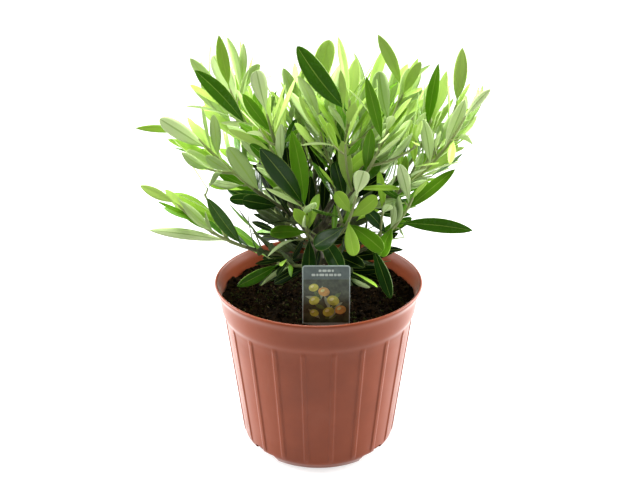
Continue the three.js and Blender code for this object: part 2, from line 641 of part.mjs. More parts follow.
// Leaves: crosswise pairs along each twig, spreading low down and closing towards its tip.
function leafAt(twig, share, keys, mass, roll, attempt) {
  const heading = headingAlong(twig.axis, share * twig.axis.length);
  const turnAxis = heading.clone().cross(UP).normalize();
  turnAxis.applyAxisAngle(heading, degrees(roll + attempt.twist));
  const closing = THREE.MathUtils.lerp(LEAF.spread[0], LEAF.spread[1], share ** 0.9);
  const spread = closing + around(0, 8, ...keys, 1) + attempt.spread;
  const along = heading.clone().applyAxisAngle(turnAxis, degrees(spread));
  along.addScaledVector(UP, -mass.droop * (1 - 0.6 * share)).normalize();
  const side = along.clone().cross(heading).normalize();
  side.applyAxisAngle(along, degrees(around(0, 22, ...keys, 2)));
  const face = side.clone().cross(along).normalize();
  const size = (0.72 + 0.33 * Math.sin(Math.PI * (0.12 + 0.7 * share))) * around(1, 0.12, ...keys, 3);
  const length = LEAF.length * mass.leaf * size * attempt.size;
  const width = length * LEAF.width * around(1, 0.14, ...keys, 4) * (1 - 0.22 * share);
  const leaf = {
    root: pointAlong(twig.axis, share * twig.axis.length),
    along,
    side,
    face,
    length,
    width,
    sag: length * around(0.07, 0.08, ...keys, 5),
  };
  return measured(leaf);
}

// A leaf with the points by which it is tested against others.
function measured(leaf) {
  return { ...leaf, centre: bladePoint(leaf, 0.5, 0), samples: bladeSamples(leaf) };
}

// Ways to place a leaf that meets something, tried in turn before it is skipped: degrees that it
// closes up or turns round its twig, and its share of the full size.
const ATTEMPTS = [
  { spread: 0, twist: 0, size: 1 },
  { spread: -12, twist: 14, size: 0.92 },
  { spread: -20, twist: -18, size: 0.84 },
  { spread: 12, twist: 22, size: 0.8 },
  { spread: -8, twist: -40, size: 0.84 },
  { spread: 8, twist: 44, size: 0.78 },
  { spread: -28, twist: 0, size: 0.7 },
];

// A leaf fits where it meets no other leaf, twig, limb or pot and stays in its mass's own space,
// give or take how far it may bulge past the middle to the next mass.
function leafFits(leaf, plant, grown, limbs, bulge = LEAF.bulge) {
  const [left, right] = CROWN_SIDES;
  if (leaf.samples.some((point) => inPot(point) || point.x < left || point.x > right)) return false;
  const placed = grown.flatMap((other) => other.leaves);
  if (placed.some((other) => bladesTouch(leaf, other))) return false;
  const ownTwigs = plant.twigs;
  const otherTwigs = grown.filter((other) => other !== plant).flatMap((other) => other.twigs);
  const clear = leaf.samples.every(
    (point) =>
      freeOfLimbs(point, limbs, ROOM.limb) &&
      nearest(point, otherTwigs) > STEM.radius + ROOM.limb &&
      nearest(point, ownTwigs) > ROOM.limb,
  );
  if (!clear) return false;
  return [0.6, 1].every((share) => {
    const point = bladePoint(leaf, share, 0);
    return nearest(point, ownTwigs) < nearest(point, otherTwigs) + bulge;
  });
}

function leadingLeaf(row, twig, attempt) {
  const along = direction(row.turn + attempt.twist / 2, row.lean + attempt.spread / 2);
  const shown = direction(FRONT.turn, FRONT.lean).multiplyScalar(row.under ? -1 : 1);
  const face = shown.addScaledVector(along, -shown.dot(along)).normalize();
  return measured({
    root: pointAlong(twig.axis, row.share * twig.axis.length),
    along,
    side: along.clone().cross(face),
    face,
    length: row.length * attempt.size,
    width: row.width * attempt.size,
    sag: LEAF.leadingSag * row.length,
  });
}

function placeLeading(grown, limbs) {
  for (const row of LEADING) {
    const plant = grown.find(({ mass }) => mass.name === row.on);
    const tries = ATTEMPTS.map((attempt) => leadingLeaf(row, plant.twigs[0], attempt));
    const leaf = tries.find((candidate) => leafFits(candidate, plant, grown, limbs, Infinity));
    if (leaf) plant.leaves.push(leaf);
  }
}

function growLeaves(grown, limbs) {
  for (const plant of grown) {
    plant.twigs.forEach((twig, number) => {
      const onTrunk = plant.mass.name in TRUNK_STEMS;
      const stemFirst = onTrunk ? FIRST_LEAF.trunkStem : FIRST_LEAF.stem;
      const first = number > 0 ? FIRST_LEAF.side : stemFirst;
      const spacing = onTrunk ? LEAF.innerSpacing : LEAF.spacing;
      const pairs = Math.max(2, Math.round((twig.axis.length * (1 - first)) / spacing) + 1);
      for (let pair = 0; pair < pairs; pair += 1) {
        const share = THREE.MathUtils.lerp(first, LAST_LEAF, pair / (pairs - 1));
        for (const half of [0, 1]) {
          const keys = [plant.key, number, pair, half];
          const roll = plant.mass.roll + 90 * pair + 180 * half + around(0, 14, ...keys, 6);
          const tries = ATTEMPTS.map((attempt) => leafAt(twig, share, keys, plant.mass, roll, attempt));
          const leaf = tries.find((candidate) => leafFits(candidate, plant, grown, limbs));
          if (leaf) plant.leaves.push(leaf);
        }
      }
    });
  }
}

// One body of each mass: its leaves joined onto its twigs, cut clear of the limbs.
function massSolid(plant, rooms) {
  const twigs = plant.twigs.map(({ axis, radius, tipRadius }) => {
    const taper = evenTaper(radius, tipRadius);
    return solid(limbGeometry(axis, taper, 3));
  });
  let shape = twigs.reduce((all, twig) => all.add(twig));
  for (const leaf of plant.leaves) shape = shape.add(solid(leafGeometry(leaf)));
  for (const room of rooms) shape = shape.subtract(room);
  return mainBody(shape.simplify(LEAF.finest));
}

// Assembly
const finish = {
  pot: new THREE.MeshStandardMaterial({ color: 0xa9604b, roughness: 0.5, metalness: 0 }),
  soil: new THREE.MeshStandardMaterial({ color: 0x2b211a, roughness: 1, metalness: 0 }),
  label: new THREE.MeshStandardMaterial({ color: 0xc9ccb6, roughness: 0.35, metalness: 0 }),
  bark: new THREE.MeshStandardMaterial({ color: 0x7d7358, roughness: 0.9, metalness: 0 }),
  leaf: new THREE.MeshStandardMaterial({ color: 0x5d8a2f, roughness: 0.45, metalness: 0 }),
};

const plantInPot = new THREE.Group();

function addPiece(name, geometry, material) {
  const mesh = new THREE.Mesh(geometry, material.clone());
  mesh.name = name;
  plantInPot.add(mesh);
}

const limbs = makeLimbs();
const { solids, rooms } = limbSolids(limbs);
const grown = growTwigs(limbs);
placeLeading(grown, limbs);
growLeaves(grown, limbs);

addPiece("pot", geometryOf(potSolid()), finish.pot);
addPiece("soil", geometryOf(soilSolid()), finish.soil);
addPiece("label", labelGeometry(), finish.label);
for (const { name, shape } of solids) addPiece(name, geometryOf(shape), finish.bark);
for (const plant of grown) {
  addPiece(`foliage_${plant.mass.name}`, geometryOf(massSolid(plant, rooms)), finish.leaf);
}

export default plantInPot;
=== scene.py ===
"""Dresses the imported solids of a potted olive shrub: pot, soil, label, bark, twigs and leaves.

Shapes are worked out in millimetres, with +Z up and the label towards -Y, and are scaled to
metres as each mesh is made. The shoots and leaves grow by the rule of the solids' own source.
"""

import math
from dataclasses import dataclass, field, replace

import bmesh
import bpy
import numpy as np
from bpy.props import (
    FloatProperty,
    FloatVectorProperty,
    IntProperty,
    PointerProperty,
)
from bpy.types import Operator, Panel, PropertyGroup
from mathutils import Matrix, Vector, noise


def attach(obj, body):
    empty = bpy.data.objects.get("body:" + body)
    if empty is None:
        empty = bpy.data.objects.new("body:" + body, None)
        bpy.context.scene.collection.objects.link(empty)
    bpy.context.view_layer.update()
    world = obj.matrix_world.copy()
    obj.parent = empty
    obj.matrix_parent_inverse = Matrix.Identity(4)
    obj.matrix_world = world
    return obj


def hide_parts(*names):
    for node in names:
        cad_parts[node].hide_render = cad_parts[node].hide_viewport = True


bl_info = {
    "name": "Potted olive shrub",
    "version": (1, 0, 0),
    "blender": (4, 5, 0),
    "location": "3D View > Sidebar > Olive",
    "description": "Leaves, bark, pot, soil and label of a potted olive shrub",
    "category": "Object",
}

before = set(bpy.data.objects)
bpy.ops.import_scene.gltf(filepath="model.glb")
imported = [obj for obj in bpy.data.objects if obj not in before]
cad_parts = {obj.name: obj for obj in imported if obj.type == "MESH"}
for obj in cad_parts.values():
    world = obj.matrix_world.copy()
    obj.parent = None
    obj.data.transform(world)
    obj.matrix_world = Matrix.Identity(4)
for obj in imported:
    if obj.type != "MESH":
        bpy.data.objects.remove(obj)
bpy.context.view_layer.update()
MM = 0.001

# The solids' own sizes, in millimetres
GAP = 0.3
POT = {
    "wall": 1.6,
    "foot_height": 7.5,
    "floor_top": 9.5,
    "hub_radius": 13,
    "skirt_inner": 57,
    "feet": 3,
    "foot_gap": 46,
    "ribs": 20,
    "rib_top": 131,
    "rib_foot": 9,
    "rim_height": 162.5,
    "drain_turns": (218, 322, 90),
    "drain_level": 9.8,  # of the slots' middle
}
POT_OUTSIDE = [
    (62.6, 0),
    (64.8, 2.6),
    (66.8, 5),
    (68.7, 7.4),
    (69.7, 10.2),
    (70.1, 13),
    (85.7, 129),
    (86.6, 131.5),
    (89, 134),
    (91.5, 156),
    (93.6, 157.6),
    (95, 159.4),
    (95, 161.6),
    (94.1, 162.5),
]
POT_LIP = max(radius for radius, height in POT_OUTSIDE)
SOIL_TOP = 145.6
SOIL_LUMP = 2.2
SOIL_LEVEL = (15, 30)  # radii between which the level patch round the trunk ends
LABEL = {
    "width": 41.6,
    "top": 207,
    "thick": 0.8,
    "corner": 2.6,
    "centre": 6.7,
    "y": -66,
    "shoulder": 151,
    "stake_width": 13,
    "stake_point": 12,
    "stake_tip": 112,
}
TRUNK = {
    "height": 69,
    "steps": 8,
    "radius": 6.2,
    "tip_radius": 4.8,
    "flare": 3.4,
    "flare_height": 7,
    "lean": 3,
    "turn": 200,
}
LEAF = {
    "length": 54,
    "width": 0.29,  # share of the length
    "spacing": 22,
    "inner_spacing": 9,
    "spread": (54, 18),  # degrees from the twig at its foot and at its tip
    "guard": 2.2,  # free room kept on each face
    "edge_guard": 1,
    "bulge": 12,  # how far a leaf may lean past the middle between two masses
    "sag": 0.07,
    "leading_sag": 0.04,
}
BLADE_REACH = (0.05, 1.04)  # shares of its length between which a blade keeps its room
ROOM = {"limb": 1, "twig": 4, "other_twig": 6, "soil": 3, "pot": 4, "label": 4}

# name, limb that carries it, foot along that limb, turn, lean at foot and tip, length, radii
BOUGHS = [
    ("centre", "trunk", 67, -30, (8, 26), 36, (3.2, 2.2)),
    ("left", "trunk", 57, 180, (34, 56), 40, (3, 2)),
    ("right", "trunk", 57, -5, (44, 64), 44, (3.2, 2)),
    ("upper_left", "trunk", 65, 170, (30, 38), 37, (2.8, 1.9)),
    ("front_left", "trunk", 63, 219, (30, 28), 37, (2.6, 1.8)),
    ("upper_right", "trunk", 64, 15, (14, 48), 42, (2.8, 1.9)),
    ("front_right", "trunk", 60, -34, (30, 40), 40, (2.6, 1.8)),
    ("low_left", "trunk", 39, 194, (80, 78), 34, (2.8, 1.9)),
    ("low_right", "trunk", 35, -20, (80, 60), 34, (2.8, 1.9)),
    ("back_left", "trunk", 54, 142, (44, 50), 33, (2.8, 1.9)),
    ("back_right", "trunk", 53, 45, (40, 52), 34, (2.8, 1.9)),
    ("back", "trunk", 61, 94, (32, 43), 32, (2.8, 1.9)),
    ("back_centre", "trunk", 66, 120, (20, 20), 29, (2.6, 1.8)),
    ("low_back_left", "trunk", 42, 116, (62, 65), 32, (2.6, 1.8)),
    ("low_back_right", "trunk", 40, 71, (60, 66), 32, (2.6, 1.8)),
    ("right_front", "right", 34, -16, (56, 59), 25, (2.2, 1.7)),
    ("right_back", "right", 36, 12, (42, 58), 32, (2.2, 1.7)),
]
# name, stem length, turn and lean at the tip, side twigs, leaf size, droop, roll
MASSES = [
    ("inner_left", 68, 276, 6, 1, 1.1, 0.05, 10),
    ("inner_front", 50, 278, 20, 1, 1, 0.15, 60),
    ("inner_right", 90, 310, 12, 1, 0.95, 0.05, 45),
    ("inner_low_left", 44, 205, 74, 0, 0.9, 0.6, 45),
    ("inner_low_right", 40, 320, 74, 0, 0.9, 0.6, 45),
    ("inner_back_left", 56, 160, 34, 1, 1, 0.1, 30),
    ("inner_back_right", 54, 22, 38, 1, 1, 0.1, 30),
    ("centre", 98, 285, 1, 2, 1.1, -0.2, 20),
    ("left", 110, 166, 43, 2, 1, -0.2, 80),
    ("right", 140, 6, 14, 2, 0.74, -0.2, 80),
    ("upper_left", 115, 166, 22, 2, 1.05, -0.2, 10),
    ("front_left", 105, 240, 20, 2, 1.05, -0.2, 60),
    ("upper_right", 110, 23, 16, 2, 1, -0.2, 0),
    ("front_right", 110, 304, 24, 2, 1, -0.2, 70),
    ("low_left", 112, 192, 38, 1, 0.95, 0, 30),
    ("low_right", 106, 300, 20, 1, 0.95, 0, 30),
    ("back_left", 105, 128, 26, 2, 1, -0.2, 50),
    ("back_right", 106, 40, 24, 2, 1, -0.2, 20),
    ("back", 96, 72, 15, 2, 1, -0.2, 65),
    ("back_centre", 90, 120, 9, 2, 1, -0.2, 35),
    ("low_back_left", 88, 100, 32, 1, 0.95, 0, 5),
    ("low_back_right", 88, 76, 32, 1, 0.95, 0, 75),
    ("right_front", 126, 350, 24, 1, 0.95, -0.2, 55),
    ("right_back", 108, 0, 2, 1, 0.95, -0.2, 15),
]
# Stems that leave the trunk itself: foot's distance up the trunk, turn and lean there
TRUNK_STEMS = {
    "inner_left": (52, 250, 64),
    "inner_front": (46, 272, 70),
    "inner_right": (50, 307, 66),
    "inner_low_left": (30, 212, 76),
    "inner_low_right": (27, 318, 78),
    "inner_back_left": (46, 156, 68),
    "inner_back_right": (44, 24, 70),
}
BOUGH_STEPS = 3
STEM_STEPS = 5
STEM_RADIUS = 2.3
TWIG_RADII = ((1.9, 1.0), (1.3, 0.8), (0.85, 0.6))  # at foot and tip, by the twig's rank
SIDE_TWIG = {"steps": 3, "share": 0.5, "between": (0.18, 0.68), "spread": 46, "lift": 0.55}
SIDE_CHANCE = {"turn": 25, "spread": 6, "length": 0.15}
FIRST_LEAF = {"stem": 0.08, "trunk_stem": 0.3, "side": 0.25}
LAST_LEAF = 0.985
GOLDEN_TURN = 137.5
# Ways to place a leaf that meets something: spread, twist and size
ATTEMPTS = [
    (0, 0, 1),
    (-12, 14, 0.92),
    (-20, -18, 0.84),
    (12, 22, 0.8),
    (-8, -40, 0.84),
    (8, 44, 0.78),
    (-28, 0, 0.7),
]

# Leaves that lead the look of a shoot: the shoot, share of its length at their foot, turn, lean,
# length, width, kind, and the side that they show in front
TOP, UNDER = 1, -1
LEADING = [
    ("centre", 0.87, 188, 36, 75, 19, "deep", TOP),
    ("left", 1.0, 180, 86, 50, 7, "spring", TOP),
    ("left", 0.8, 182, 55, 52, 15, "silver", UNDER),
    ("left", 0.25, 184, 32, 54, 16, "spring", UNDER),
    ("left", 0.7, 190, 4, 42, 10, "lime", UNDER),
    ("left", 0.2, 198, 76, 44, 13, "dark", TOP),
    ("left", 0.06, 208, 70, 38, 14, "dark", TOP),
    ("upper_left", 0.66, 184, 40, 70, 15, "deep", TOP),
    ("upper_left", 0.86, 140, 34, 48, 15, "silver", UNDER),
    ("upper_left", 1.0, 170, 10, 48, 11, "spring", TOP),
    ("front_left", 0.8, 200, 34, 45, 11, "mid", TOP),
    ("front_left", 1.0, 190, 12, 40, 14, "silver", UNDER),
    ("back", 1.0, 20, 12, 54, 18, "lime", TOP),
    ("inner_left", 0.97, 200, 34, 70, 19, "dark", TOP),
    ("inner_left", 0.9, 138, 12, 72, 15, "mid", TOP),
    ("inner_left", 0.5, 190, 86, 34, 12, "mid", TOP),
    ("inner_left", 0.4, 268, 140, 36, 13, "dark", TOP),
    ("inner_right", 0.6, 230, 96, 42, 16, "dark", TOP),
    ("inner_front", 0.9, 302, 122, 42, 15, "dark", TOP),
    ("inner_right", 0.64, 335, 120, 40, 15, "mid", TOP),
    ("inner_right", 0.68, 275, 140, 36, 14, "spring", TOP),
    ("inner_right", 0.72, 348, 48, 32, 13, "spring", TOP),
    ("inner_right", 0.78, 200, 34, 26, 12, "spring", TOP),
    ("inner_right", 1.0, 0, 16, 24, 14, "silver", UNDER),
    ("front_right", 0.1, 190, 14, 38, 14, "dark", TOP),
    ("front_right", 0.2, 196, 10, 50, 12, "lime", TOP),
    ("front_right", 0.3, 350, 38, 30, 14, "deep", TOP),
    ("front_right", 0.45, 310, 8, 42, 11, "mid", TOP),
    ("front_right", 0.8, 188, 14, 60, 11, "mid", TOP),
    ("upper_right", 0.7, 176, 12, 50, 15, "mid", UNDER),
    ("upper_right", 1.0, 180, 24, 54, 11, "lime", TOP),
    ("right_back", 0.7, 4, 14, 66, 12, "mid", TOP),
    ("right", 1.0, 0, 4, 50, 12, "lime", TOP),
    ("right_front", 0.56, 190, 10, 44, 11, "silver", UNDER),
    ("right_front", 0.72, 0, 20, 48, 12, "silver", UNDER),
    ("right_front", 1.0, 0, 40, 32, 8, "silver", UNDER),
    ("low_right", 0.55, 0, 96, 68, 13, "deep", TOP),
    ("low_right", 0.7, 355, 46, 58, 11, "mid", TOP),
    ("low_right", 0.5, 240, 130, 30, 13, "mid", TOP),
    ("low_right", 0.4, 184, 44, 32, 13, "dark", TOP),
    ("low_right", 0.78, 184, 20, 44, 12, "silver", UNDER),
    ("low_right", 0.22, 300, 140, 52, 12, "dark", TOP),
    ("low_left", 0.44, 183, 80, 74, 10, "silver", UNDER),
    ("low_left", 0.34, 188, 38, 62, 14, "deep", TOP),
    ("low_left", 1.0, 184, 60, 36, 9, "lime", TOP),
    ("inner_low_left", 0.95, 195, 114, 42, 11, "deep", TOP),
]
FRONT = (270, 66)  # turn and lean of the way in which the label's side is looked at from
# How far the smaller leaves reach, seen from the front: places across and up, from the middle
CROWN_FRONT = [
    (-145, 95),
    (-118, 130),
    (-120, 165),
    (-92, 185),
    (-66, 185),
    (-48, 155),
    (-20, 165),
    (5, 180),
    (30, 172),
    (42, 145),
    (52, 185),
    (66, 185),
    (88, 172),
    (95, 150),
    (104, 166),
    (112, 150),
    (126, 178),
    (134, 148),
    (152, 132),
    (132, 95),
    (128, 70),
    (100, 45),
    (85, 20),
    (75, -15),
    (60, -45),
    (-55, -45),
    (-60, -12),
    (-150, 30),
    (-140, 50),
    (-115, 40),
    (-60, 10),
    (-90, 35),
    (-120, 68),
]
CROWN_MIDDLE = 202

# What only the fine model adds
FINER, BOUGH = 2, 3  # ranks after those of a stem, 0, and a side twig, 1
FINE_TWIG = {
    "count": (4, 1, 3),
    "length": 24,
    "steps": 3,
    "between": (0.12, 0.92),
    "spread": 52,
    "lift": 0.4,
}
FINE_SPACING = (10, 9, 8, 9)  # between two pairs, by the rank of what carries them
FINE_LEAF = {
    "size": 0.92,
    "twig_size": 0.85,  # the same again on the finer twigs
    "first": 0.1,
    "run": 0.86,
    "turn": 45,
    "guard": 1.1,
    "edge_guard": 0.4,
    "bulge": 6,
}
SECOND_KEY = 50  # keeps the dice of what is added apart from the source's own


# Directions and chance
def unit(vector):
    return vector / (np.linalg.norm(vector) or 1)


def mix(first, last, share):
    return first + (last - first) * share


def smooth(low, high, value):
    """0 below low, 1 above high, and an even curve between."""
    share = np.clip((value - low) / (high - low), 0, 1)
    return share * share * (3 - 2 * share)


UP = np.array([0.0, 0.0, 1.0])


def direction(turn, lean):
    turn, lean = math.radians(turn), math.radians(lean)
    out = math.sin(lean)
    return np.array([out * math.cos(turn), out * math.sin(turn), math.cos(lean)])


def turned(vector, axis, angle):
    """vector turned about a unit axis by an angle in degrees."""
    cosine, sine = math.cos(math.radians(angle)), math.sin(math.radians(angle))
    along = axis * np.dot(axis, vector) * (1 - cosine)
    return vector * cosine + np.cross(axis, vector) * sine + along


def dice(*keys):
    """A repeatable number from 0 to 1 for each set of whole-number keys."""
    mask = 0xFFFFFFFF
    value = 0x811C9DC5
    for key in keys:
        value = ((value ^ (key + 101)) * 0x01000193) & mask
        value = ((value ^ (value >> 15)) * 0x85EBCA6B) & mask
        value ^= value >> 13
    value = (value * 0xC2B2AE35) & mask
    return (value ^ (value >> 16)) / 4294967296


def around(middle, spread, *keys):
    return middle + spread * (2 * dice(*keys) - 1)


# The view from the front
TO_FRONT = direction(*FRONT)
FRONT_UP = direction(90, 90 - FRONT[1])


def seen(points):
    """Where points show from the front, as flat points across and up, and how near they are."""
    offset = np.asarray(points, float) - UP * CROWN_MIDDLE
    near = offset @ TO_FRONT
    return np.stack([offset[..., 0], offset @ FRONT_UP, 0 * near], -1), near


def inside_crown(flat):
    """Which flat points lie inside the crown's outline."""
    corners = np.array(CROWN_FRONT, float)
    x0, y0 = corners.T
    x1, y1 = np.roll(corners, -1, axis=0).T
    x, y = flat[:, 0, None], flat[:, 1, None]
    spans = (y0 > y) != (y1 > y)
    crossing = x0 + (y - y0) * (x1 - x0) / np.where(y1 == y0, 1, y1 - y0)
    return (spans & (x < crossing)).sum(1) % 2 == 1


# Limbs and shoots
class Axis:
    """A line of points that turns evenly from one heading to another, as a shoot grows."""

    def __init__(self, start, first, last, length, steps):
        self.length = length
        self.steps = steps
        points, headings = [np.array(start, float)], [first]
        for step in range(1, steps + 1):
            middle = unit(mix(first, last, (step - 0.5) / steps))
            points.append(points[-1] + middle * length / steps)
            headings.append(unit(mix(first, last, step / steps)))
        self.points, self.headings = np.array(points), np.array(headings)

    def place(self, distance):
        place = min(max(distance / self.length, 0), 1) * self.steps
        step = min(int(place), self.steps - 1)
        return step, place - step

    def point(self, distance):
        step, rest = self.place(distance)
        return mix(self.points[step], self.points[step + 1], rest)

    def heading(self, distance):
        step, rest = self.place(distance)
        return unit(mix(self.headings[step], self.headings[step + 1], rest))

    def smooth_point(self, distance):
        """A point on the smooth curve through the axis's points."""
        step, t = self.place(distance)
        (start, end), reach = self.points[step : step + 2], self.length / self.steps
        first, last = self.headings[step : step + 2] * reach
        return (
            (2 * t**3 - 3 * t**2 + 1) * start
            + (t**3 - 2 * t**2 + t) * first
            + (3 * t**2 - 2 * t**3) * end
            + (t**3 - t**2) * last
        )


def distances(points, starts, ends):
    """Distance of each point to each straight piece from a start to an end."""
    along = ends - starts
    offset = points[:, None, :] - starts[None]
    share = np.einsum("mkc,kc->mk", offset, along) / np.einsum("kc,kc->k", along, along)
    offset -= np.clip(share, 0, 1)[:, :, None] * along[None]
    return np.sqrt(np.einsum("mkc,mkc->mk", offset, offset))


def trunk_radius(share):
    flare = TRUNK["flare"] * math.exp(-share * TRUNK["height"] / TRUNK["flare_height"])
    return mix(TRUNK["radius"], TRUNK["tip_radius"], share) + flare


def bough_radius(foot, tip):
    return lambda share: mix(foot, tip, share)


def make_limbs():
    """The trunk's and boughs' axes and radii, by name."""
    foot = np.array([0, 0, SOIL_TOP + GAP])
    tip = direction(TRUNK["turn"], TRUNK["lean"])
    limbs = {"trunk": (Axis(foot, UP, tip, TRUNK["height"], TRUNK["steps"]), trunk_radius)}
    for name, carrier, distance, turn, lean, length, radii in BOUGHS:
        start = limbs[carrier][0].point(distance)
        first, last = direction(turn, lean[0]), direction(turn, lean[1])
        limbs[name] = (Axis(start, first, last, length, BOUGH_STEPS), bough_radius(*radii))
    return limbs


@dataclass
class Leaf:
    """One blade: where it starts, which way it lies, and its sizes."""

    root: np.ndarray
    along: np.ndarray
    side: np.ndarray
    face: np.ndarray
    length: float
    width: float
    sag: float
    keys: tuple
    kind: str = ""

    def faced(self, outward):
        """The same blade, with its upper skin towards outward."""
        if np.dot(self.face, outward) >= 0:
            return self
        return replace(self, side=-self.side, face=-self.face, sag=-self.sag)

    def points(self, share, across):
        """Points on the blade's middle sheet."""
        share, across = np.asarray(share, float), np.asarray(across, float)
        half = 0.5 * self.width * blade_outline(share)
        return (
            self.root
            + self.along * (share * self.length)[..., None]
            + self.side * (across * half)[..., None]
            - self.face * (self.sag * share * share)[..., None]
        )

    def samples(self):
        """Points along both edges and the midrib, past the blade's foot."""
        foot, rest, apart = 0.2, 0.8, 4
        count = math.ceil(self.length * rest / apart)
        shares = np.repeat(foot + rest * np.arange(count + 1) / count, 3)
        return self.points(shares, np.tile([-1, 0, 1], count + 1))


@dataclass
class Plant:
    """One mass of foliage: its row in the table, its twigs and its leaves."""

    name: str
    key: int
    turn: float
    lean: float
    leaf_size: float
    droop: float
    roll: float
    twigs: list = field(default_factory=list)
    leaves: list = field(default_factory=list)


@dataclass
class Twig:
    """One shoot: its axis, its rank and where its leaves leave it."""

    axis: Axis
    rank: int
    nodes: list = field(default_factory=list)


def blade_outline(share):
    """Half width of a blade's own room at a share of its length, as a share of the greatest."""
    return np.sin(math.pi * (0.06 + 0.9 * np.clip(share, 0, 1))) ** 0.75


def on_blade(points, root, along, side, face, sizes, guard, edge_guard):
    """Which points lie on a blade or within its guard. Every array broadcasts."""
    length, width, sag = sizes[..., 0], sizes[..., 1], sizes[..., 2]
    offset = points - root
    share = (offset * along).sum(-1) / length
    height = np.abs((offset * face).sum(-1) + sag * share * share)
    across = np.abs((offset * side).sum(-1))
    edge = 0.5 * width * blade_outline(share) + edge_guard
    along_it = (share >= BLADE_REACH[0]) & (share <= BLADE_REACH[1])
    return along_it & (height <= guard) & (across < edge)


class Canopy:
    """Every blade and shoot placed so far, in arrays, so that a new blade meets all at once."""

    LIMB_PLACE = 0.3  # share of a limb at which its radius is taken
    MOST_BLADES = 3000
    MOST_SAMPLES = 60
    LEADING_SPAN = (0.15, 0.97)  # the part of a leading leaf that stays in view
    LEADING_SHARE = 0.8  # and how much of its width
    BEHIND = 3  # a blade this far behind a leading leaf, or further, doesn't hide it
    MAY_COVER = 2  # points of a blade that may stand before a leading leaf

    def __init__(self, limbs):
        self.count = 0
        self.frames = np.zeros((self.MOST_BLADES, 4, 3))
        self.sizes = np.zeros((self.MOST_BLADES, 3))
        self.centres = np.zeros((self.MOST_BLADES, 3))
        self.sampled = np.zeros((self.MOST_BLADES, self.MOST_SAMPLES, 3))
        axes = [axis for axis, radius in limbs.values()]
        self.limb_starts = np.concatenate([axis.points[:-1] for axis in axes])
        self.limb_ends = np.concatenate([axis.points[1:] for axis in axes])
        self.limb_reach = np.concatenate(
            [np.full(axis.steps, radius(self.LIMB_PLACE)) for axis, radius in limbs.values()]
        )
        self.starts, self.ends = np.zeros((0, 3)), np.zeros((0, 3))
        self.owners = np.zeros(0, int)

    def add_twig(self, axis, owner):
        self.starts = np.concatenate([self.starts, axis.points[:-1]])
        self.ends = np.concatenate([self.ends, axis.points[1:]])
        self.owners = np.concatenate([self.owners, np.full(axis.steps, owner)])

    def add_leaf(self, leaf):
        i, samples = self.count, leaf.samples()
        self.frames[i] = leaf.root, leaf.along, leaf.side, leaf.face
        self.sizes[i] = leaf.length, leaf.width, leaf.sag
        self.centres[i] = leaf.points(0.5, 0)
        self.sampled[i] = samples[-1]
        self.sampled[i, : len(samples)] = samples
        self.count += 1

    def note_leading(self, leaves):
        """Keeps where the leading leaves show from the front."""
        shown = [seen(leaf.points(self.LEADING_SPAN, [0, 0])) for leaf in leaves]
        self.lead_starts = np.array([flat[0] for flat, near in shown])
        self.lead_ends = np.array([flat[1] for flat, near in shown])
        self.lead_nearness = np.array([near.mean() for flat, near in shown])
        self.lead_halves = np.array([leaf.width / 2 for leaf in leaves])

    def hides_leading(self, points):
        """Whether a blade's points stand before a leading leaf, seen from the front."""
        flat, near = seen(points)
        found = distances(flat, self.lead_starts, self.lead_ends)
        before = near[:, None] > self.lead_nearness - self.BEHIND
        over = found < self.lead_halves * self.LEADING_SHARE
        return (over & before).any(1).sum() > self.MAY_COVER

    def clear_of_limbs(self, points, room):
        found = distances(points, self.limb_starts, self.limb_ends)
        return bool((found > self.limb_reach + room).all())

    def from_twigs(self, points, owner):
        """Nearest distance of each point to its own mass's shoots, and to all the others."""
        found = distances(points, self.starts, self.ends)
        own = self.owners == owner
        return found[:, own].min(1), found[:, ~own].min(1)

    def touches(self, leaf, samples, guard, edge_guard):
        count = self.count
        reach = (leaf.length + self.sizes[:count, 0]) / 2 + guard + edge_guard
        apart = np.linalg.norm(self.centres[:count] - leaf.points(0.5, 0), axis=1)
        near = np.nonzero(apart <= reach)[0]
        if not len(near):
            return False
        frames, sizes = self.frames[near][:, :, None], self.sizes[near][:, None]
        theirs = frames[:, 0], frames[:, 1], frames[:, 2], frames[:, 3], sizes
        if on_blade(samples[None], *theirs, guard, edge_guard).any():
            return True
        sizes = np.array([leaf.length, leaf.width, leaf.sag])
        mine = leaf.root, leaf.along, leaf.side, leaf.face, sizes
        return bool(on_blade(self.sampled[near], *mine, guard, edge_guard).any())


def pot_radius(height, inset=0):
    heights = [level for radius, level in POT_OUTSIDE]
    radii = [radius for radius, level in POT_OUTSIDE]
    return np.interp(height, heights, radii) - inset


def in_pot(points):
    """Which points are in or close to the pot's wall, the soil or the label."""
    x, y, z = points.T
    out = np.hypot(x, y)
    in_mouth = out < pot_radius(SOIL_TOP) - 2 * ROOM["pot"]
    over_soil = z > SOIL_TOP + SOIL_LUMP + ROOM["soil"]
    low = (z < POT["rim_height"] + ROOM["pot"]) & (out < POT_LIP + ROOM["pot"])
    beside = np.abs(x - LABEL["centre"]) < LABEL["width"] / 2 + ROOM["label"]
    at_label = np.abs(y - LABEL["y"]) < ROOM["label"]
    at_label &= z < LABEL["top"] + ROOM["label"]
    return (low & ~(in_mouth & over_soil)) | (beside & at_label)


def stem_axis(plant, length, limbs):
    """A mass's stem, from the trunk or from just past its bough's tip."""
    target = direction(plant.turn, plant.lean)
    if plant.name in TRUNK_STEMS:
        foot, turn, lean = TRUNK_STEMS[plant.name]
        start, first = limbs["trunk"][0].point(foot), direction(turn, lean)
    else:
        bough = limbs[plant.name][0]
        first = bough.headings[-1]
        start = bough.points[-1] + first * GAP
    return Axis(start, first, target, length, STEM_STEPS)


